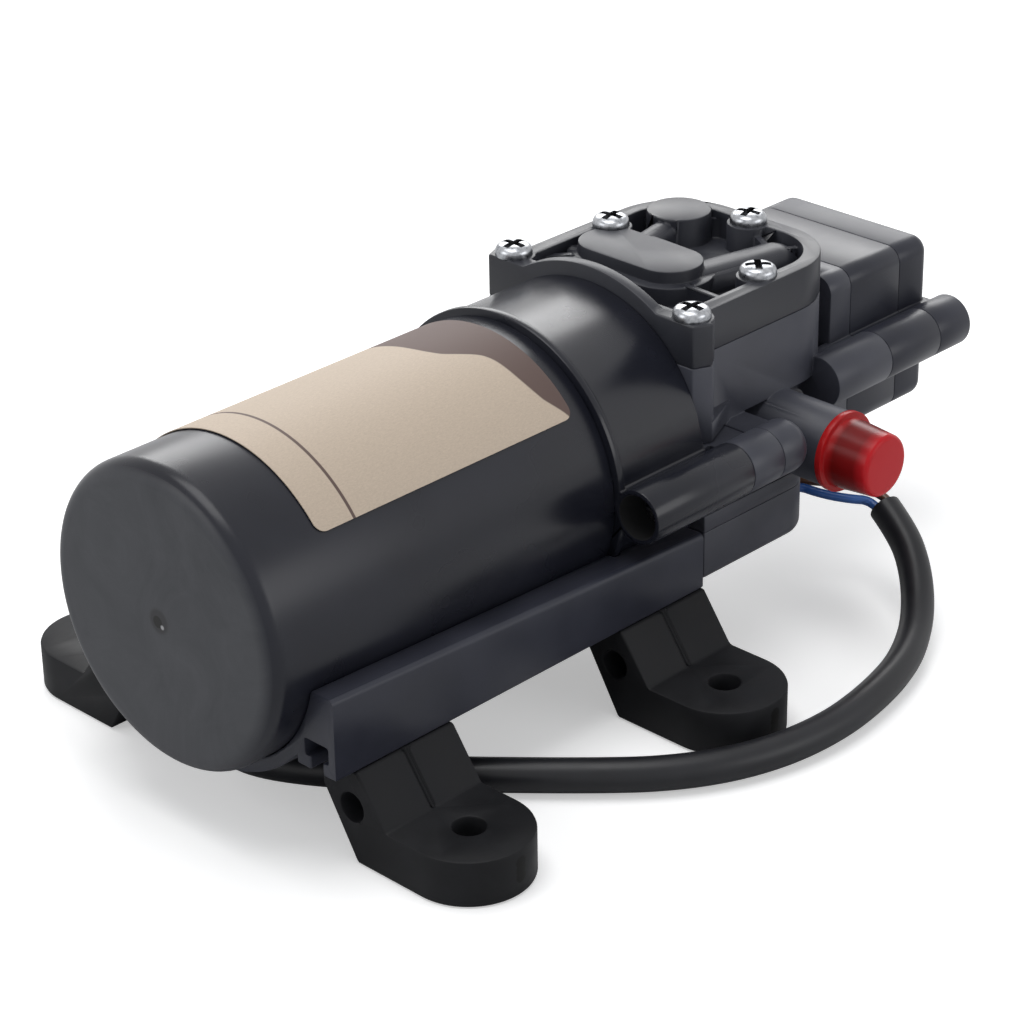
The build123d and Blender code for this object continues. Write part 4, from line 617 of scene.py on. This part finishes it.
# Connecting rod, diaphragm and valves: the rod is acetal on a steel bearing, the diaphragm and the two
# mushroom valves are black rubber, and the valve plate between them is moulded.
valve_rubber = plastic("valve_rubber", (0.010, 0.010, 0.0105), (0.016, 0.016, 0.0168), roughness=(0.52, 0.68),
                       fine_scale=1200.0, patch_scale=60.0, bump=0.12, specular=0.3, sheen=0.1)
inner_black = plastic("inner_black", (0.016, 0.016, 0.018), (0.024, 0.024, 0.026), roughness=(0.3, 0.44),
                      fine_scale=1200.0, patch_scale=50.0, bump=0.1)
paint(ground_steel, "crank_bearing")
paint(inner_black, "connecting_rod", "valve_plate", "microswitch")
paint(valve_rubber, "diaphragm", "inlet_valve", "outlet_valve", "cover_gasket", "switch_diaphragm")

# Pump body: the main moulding of the head in dark glass-filled nylon, with a faintly grainy skin. The
# two long screws and the five cover screws run into it, and the hose tails are part of it.
softened("pump_body", "housing", body_grey)

# Head cover: the same nylon, a shade darker, held on the body with five screws. The neck from the valve
# dome to the round outlet boss is lower than both and round on top.
cover_grey = plastic("cover_grey", (0.017, 0.0180, 0.0240), (0.027, 0.0285, 0.0370), roughness=(0.34, 0.48),
                     fine_scale=1300.0, patch_scale=45.0, bump=0.16, specular=0.32)
dome_start, dome_end, dome_radius = (0.02895, -0.0019), (0.02895, 0.0109), 0.00584
outlet_boss, outlet_boss_radius = (0.04725, 0.0120), 0.00564
dome_bottom, dome_top = 0.05, 0.0625
neck_start, neck_radius, neck_axis_z = (0.02895, 0.0082), 0.0024, 0.0564
neck_margin, neck_overrun, neck_top = 0.0004, 0.004, 0.0615


def slot_prism(start, end, radius, bottom, top):
    """A closed upright prism over a slot with round ends."""
    way = math.atan2(end[1] - start[1], end[0] - start[0])
    arc_steps = 24
    outline = []
    for centre, first_angle in ((end, way - math.pi / 2), (start, way + math.pi / 2)):
        for step in range(arc_steps + 1):
            turned = first_angle + math.pi * step / arc_steps
            outline.append((centre[0] + radius * math.cos(turned), centre[1] + radius * math.sin(turned)))
    count = len(outline)
    ends = [list(range(count))[::-1], list(range(count, 2 * count))]
    walls = [(step, (step + 1) % count, (step + 1) % count + count, step + count) for step in range(count)]
    mesh = bpy.data.meshes.new("prism")
    mesh.from_pydata([(x, y, z) for z in (bottom, top) for x, y in outline], [], ends + walls)
    return mesh


neck_run = Vector(outlet_boss) - Vector(neck_start)
neck_middle = (Vector(outlet_boss) + Vector(neck_start)) / 2
neck_bar = bmesh.new()
bmesh.ops.create_cone(neck_bar, cap_ends=True, segments=48, radius1=neck_radius, radius2=neck_radius,
                      depth=neck_run.length + neck_overrun)
bmesh.ops.transform(neck_bar, verts=neck_bar.verts, matrix=Matrix.Translation((*neck_middle, neck_axis_z))
                    @ neck_run.to_3d().to_track_quat("Z", "Y").to_matrix().to_4x4())
neck_round = bpy.data.meshes.new("neck_round")
neck_bar.to_mesh(neck_round)
neck_bar.free()
neck_cutter = slot_prism(neck_start, outlet_boss, neck_radius + neck_margin, neck_axis_z, neck_top)
for kept in (neck_round, slot_prism(dome_start, dome_end, dome_radius, dome_bottom, dome_top),
             slot_prism(outlet_boss, outlet_boss, outlet_boss_radius, dome_bottom, dome_top)):
    neck_cutter = cut_away(neck_cutter, kept)
softened("head_cover", "housing", cover_grey, edge=0.0003, cutter=neck_cutter)

# Screws: zinc-plated steel pan heads with a cross recess. Five hold the head cover, two long ones clamp
# bracket, plate and body, two hold the switch and two the cradle.
zinc_plate = metal("zinc_plate", (0.26, 0.27, 0.29), (0.42, 0.43, 0.45), roughness=(0.22, 0.36), scale=1400.0)
# Painted shade: the faces in each screw's cross recess are painted dark
recess_shade = add_node(zinc_plate.node_tree, "ShaderNodeAttribute", attribute_name="recess")
lay_over(zinc_plate, "Base Color", recess_shade.outputs["Fac"], (0.05, 0.05, 0.052))


def screw_tree():
    """Screws on points: a pan head with a cross sunk in it, on a plain shank, turned by chance."""
    size_labels = ("Head radius", "Head height", "Shank radius", "Shank length", "Cross length",
                   "Cross width", "Cross depth")
    tree, inside, result = new_group(
        "screws", "GeometryNodeTree",
        {"Places": "Geometry", **dict.fromkeys(size_labels, "Float"), "Seed": "Int", "Metal": "Material"},
        {"Screws": "Geometry"})
    tree.is_modifier = True
    given = inside.outputs
    radius, height = given["Head radius"], given["Head height"]
    shoulder_power, crown_power, overlap = -0.4, 0.6, 0.0002
    recess_height_share, recess_reach_share = 0.85, 0.52

    def raised(shape, rise):
        upward = add_node(tree, "ShaderNodeCombineXYZ", {"Z": rise})
        return add_node(tree, "GeometryNodeTransform", {
            "Geometry": shape, "Translation": upward.outputs[0]}).outputs["Geometry"]

    # The head is a ball, made full at its shoulder and flat underneath
    ball = add_node(tree, "GeometryNodeMeshUVSphere", {"Segments": 48, "Rings": 36, "Radius": 1.0})
    where = add_node(tree, "GeometryNodeInputPosition").outputs["Position"]
    parts = add_node(tree, "ShaderNodeSeparateXYZ", {0: where}).outputs
    flat = add_node(tree, "ShaderNodeVectorMath", {0: where, 1: (1.0, 1.0, 0.0)}, operation="MULTIPLY")
    out = add_node(tree, "ShaderNodeVectorMath", {0: flat.outputs[0]}, operation="LENGTH").outputs["Value"]
    wide = maths(tree, "MULTIPLY", radius,
                 maths(tree, "POWER", maths(tree, "MAXIMUM", out, 0.001), shoulder_power))
    rise = maths(tree, "MULTIPLY", height,
                 maths(tree, "POWER", maths(tree, "MAXIMUM", parts["Z"], 0.0), crown_power))
    under = maths(tree, "MULTIPLY", maths(tree, "MINIMUM", parts["Z"], 0.0), overlap)
    pan_place = add_node(tree, "ShaderNodeCombineXYZ", {
        "X": maths(tree, "MULTIPLY", parts["X"], wide), "Y": maths(tree, "MULTIPLY", parts["Y"], wide),
        "Z": maths(tree, "ADD", rise, under)})
    pan = add_node(tree, "GeometryNodeSetPosition", {"Geometry": ball.outputs["Mesh"],
                                                     "Position": pan_place.outputs[0]})

    # The cross is cut by two bars, and its faces carry a mark for the painted shade in the recess
    cut = add_node(tree, "GeometryNodeMeshBoolean", operation="DIFFERENCE", solver="EXACT")
    feed(tree, cut, {"Mesh 1": pan.outputs["Geometry"]})
    deep = maths(tree, "MULTIPLY", given["Cross depth"], 2.0)
    for bar_x, bar_y in (("Cross length", "Cross width"), ("Cross width", "Cross length")):
        bar_size = add_node(tree, "ShaderNodeCombineXYZ", {"X": given[bar_x], "Y": given[bar_y], "Z": deep})
        bar = add_node(tree, "GeometryNodeMeshCube", {"Size": bar_size.outputs[0]})
        feed(tree, cut, {"Mesh 2": raised(bar.outputs["Mesh"], height)})
    sunk = maths(tree, "LESS_THAN", parts["Z"], maths(tree, "MULTIPLY", height, recess_height_share))
    inner = maths(tree, "LESS_THAN", out, maths(tree, "MULTIPLY", given["Cross length"], recess_reach_share))
    recess = add_node(tree, "GeometryNodeStoreNamedAttribute", {
        "Geometry": cut.outputs["Mesh"], "Name": "recess", "Value": maths(tree, "MULTIPLY", sunk, inner),
    }, data_type="FLOAT", domain="FACE")

    # The shank reaches a little way into the head
    shank = add_node(tree, "GeometryNodeMeshCylinder", {"Vertices": 24, "Radius": given["Shank radius"],
                                                        "Depth": given["Shank length"]})
    half = maths(tree, "MULTIPLY", given["Shank length"], -0.5)
    screw = add_node(tree, "GeometryNodeJoinGeometry", {
        "Geometry": raised(shank.outputs["Mesh"], maths(tree, "ADD", half, overlap))})
    feed(tree, screw, {"Geometry": recess.outputs["Geometry"]})

    # Each screw stands along its point's direction and is turned by chance
    facing = add_node(tree, "GeometryNodeInputNamedAttribute", {"Name": "facing"}, data_type="FLOAT_VECTOR")
    upright = add_node(tree, "FunctionNodeAlignRotationToVector", {"Vector": facing.outputs["Attribute"]},
                       axis="Z")
    chance = add_node(tree, "FunctionNodeRandomValue", {3: math.pi, "Seed": given["Seed"]}, data_type="FLOAT")
    turn = add_node(tree, "FunctionNodeAxisAngleToRotation", {"Axis": (0.0, 0.0, 1.0),
                                                              "Angle": chance.outputs[1]})
    turned = add_node(tree, "FunctionNodeRotateRotation", {
        "Rotation": upright.outputs["Rotation"], "Rotate By": turn.outputs["Rotation"],
    }, rotation_space="LOCAL")
    placed = add_node(tree, "GeometryNodeInstanceOnPoints", {
        "Points": given["Places"], "Instance": screw.outputs["Geometry"],
        "Rotation": turned.outputs["Rotation"]})
    real = add_node(tree, "GeometryNodeRealizeInstances", {"Geometry": placed.outputs["Instances"]})
    coat = add_node(tree, "GeometryNodeSetMaterial", {"Geometry": real.outputs["Geometry"],
                                                      "Material": given["Metal"]})
    feed(tree, result, {"Screws": coat.outputs["Geometry"]})
    return tree


screws = screw_tree()


def screw_set(node, places, facing, sizes, seed):
    """One set of like screws at their seats, all facing one way, that takes the CAD screws' place."""
    mesh = bpy.data.meshes.new(node + "_set")
    mesh.from_pydata([tuple(value / 1000 for value in place) for place in places], [], [])
    ways = mesh.attributes.new("facing", "FLOAT_VECTOR", "POINT")
    for way in ways.data:
        way.vector = facing
    piece = new_object(node + "_set", mesh)
    maker = piece.modifiers.new("screws", "NODES")
    maker.node_group = screws
    values = {**{label: value / 1000 for label, value in sizes.items()}, "Seed": seed, "Metal": zinc_plate}
    for socket in screws.interface.items_tree:
        if socket.in_out == "INPUT" and socket.name in values:
            maker[socket.identifier] = values[socket.name]
    piece.data = baked(piece)
    piece.modifiers.clear()
    smooth(piece, 38.0)
    take_place(piece, "housing", node)


screw_set("cover_screws", [(14.25, 19.8, 58.9), (14.25, -19.8, 58.9), (34.65, 16.4, 58.9),
                           (34.65, -16.4, 58.9), (51.55, 0.0, 58.9)], (0.0, 0.0, 1.0),
          {"Head radius": 3.2, "Head height": 2.0, "Shank radius": 1.3, "Shank length": 14.0,
           "Cross length": 4.3, "Cross width": 1.2, "Cross depth": 1.1}, seed=5)
screw_set("body_screws", [(-3.1, 29.6, 35.1), (-3.1, -29.6, 35.1)], (-1.0, 0.0, 0.0),
          {"Head radius": 3.3, "Head height": 2.0, "Shank radius": 1.8, "Shank length": 29.5,
           "Cross length": 4.3, "Cross width": 1.2, "Cross depth": 1.1}, seed=2)
screw_set("switch_screws", [(79.85, 21.0, 37.0), (79.85, -21.0, 37.0)], (1.0, 0.0, 0.0),
          {"Head radius": 2.9, "Head height": 1.8, "Shank radius": 1.5, "Shank length": 31.1,
           "Cross length": 3.4, "Cross width": 0.9, "Cross depth": 0.9}, seed=7)
screw_set("base_screws", [(-0.25, 9.0, 7.6), (-0.25, -9.0, 7.6)], (0.0, 0.0, -1.0),
          {"Head radius": 2.8, "Head height": 1.6, "Shank radius": 1.4, "Shank length": 6.7,
           "Cross length": 3.2, "Cross width": 0.9, "Cross depth": 0.8}, seed=3)

# Port caps: soft red plastic transport caps, pushed over the hose tails. They let some light through, so the
# closed end, with nothing dark behind it, looks brighter than the sleeve; that light and the shade of the
# tail inside are painted into their colour.
cap_inner_y, cap_outer_y = 0.0337, 0.0432
cap_red = new_material("cap_red", {"Roughness": 0.26, "Specular IOR Level": 0.15, "Subsurface Weight": 0.2,
                                   "Subsurface Radius": (1.0, 0.1, 0.08), "Subsurface Scale": 0.0015})
cap_tree = cap_red.node_tree
cap_side = add_node(cap_tree, "ShaderNodeSeparateXYZ", {0: object_place(cap_tree)}).outputs["Y"]
cap_along = ranged(cap_tree, maths(cap_tree, "ABSOLUTE", cap_side), start=cap_inner_y, end=cap_outer_y,
                   low=0.0, high=1.0)
# Painted light and shade along the cap: brighter at the flange and the closed end, darker over the sleeve
# where the tail lies inside
feed(cap_tree, cap_tree.nodes["Principled BSDF"], {"Base Color": colour_ramp(cap_tree, cap_along, (
    (0.0, (0.42, 0.012, 0.014)), (0.14, (0.40, 0.011, 0.013)), (0.30, (0.15, 0.005, 0.005)),
    (0.72, (0.19, 0.006, 0.007)), (0.95, (0.50, 0.014, 0.020))))})
softened("port_cap_left", "left_port_cap", cap_red, edge=0.00015)
softened("port_cap_right", "right_port_cap", cap_red, edge=0.00015)

# Pressure switch: a housing and a rear cover in satin black, joined by a seam. Inside, a nylon plunger
# under a steel spring works the button of a sealed microswitch.
switch_black = plastic("switch_black", (0.0180, 0.0192, 0.0285), (0.0280, 0.0300, 0.0435),
                       roughness=(0.3, 0.44), fine_scale=1300.0, bump=0.14, specular=0.3)
softened("switch_housing", "housing", switch_black)
softened("switch_cover", "housing", switch_black)
paint(natural_nylon, "switch_plunger")
button_red = plastic("button_red", (0.32, 0.018, 0.018), (0.4, 0.025, 0.025), roughness=(0.3, 0.42))
paint(button_red, "switch_button")

# Wire box: a tray under the head and its lid, moulded in the body's nylon. The cable's joints lie inside,
# and the two cores come out through its rear wall.
box_grey = plastic("box_grey", (0.043, 0.0445, 0.0565), (0.064, 0.0655, 0.0810), roughness=(0.36, 0.5),
                   fine_scale=1300.0, patch_scale=45.0, bump=0.14, specular=0.3)
softened("wire_box", "housing", box_grey)
softened("wire_box_lid", "housing", box_grey)

# Base cradle: a satin black moulding with a curved floor for the motor, fixed under the bracket with two
# screws. The feet slide in its two rails.
cradle_black = plastic("cradle_black", (0.0235, 0.0250, 0.0360), (0.0350, 0.0370, 0.0515),
                       roughness=(0.28, 0.42), fine_scale=1100.0, patch_scale=35.0, bump=0.1, specular=0.28)
softened("base_cradle", "housing", cradle_black, edge=0.0003)

# Feet: four soft black rubber blocks, each with a T that slides in a rail, a screw hole through the pad,
# a round hole from side to side and a shallow groove down the slope. The tip of each pad has a gate mark,
# a small notch drawn only as near-black spots of painted shade.
foot_rubber = plastic("foot_rubber", (0.0068, 0.0070, 0.0082), (0.0120, 0.0124, 0.0145),
                      roughness=(0.46, 0.64), fine_scale=1500.0, patch_scale=70.0, bump=0.2, specular=0.16)
pad_tip_y = 0.0526
gate_notch_offset_x = 0.0006
# Painted shade: a stack of near-black spots stands for the notch at each pad tip
for foot_x in (-0.06075, -0.00295):
    for foot_side in (-1, 1):
        for gate_notch_shade_z in (0.0032, 0.0044, 0.0056):
            stamp(foot_rubber, (foot_x + gate_notch_offset_x, foot_side * pad_tip_y, gate_notch_shade_z), radius=0.0009,
                  edge=0.0003, colour=(0.001, 0.001, 0.001))
for way_x in ("front", "rear"):
    for way_y in ("left", "right"):
        softened(f"foot_{way_x}_{way_y}", f"{way_x}_{way_y}_foot", foot_rubber, edge=0.0004)
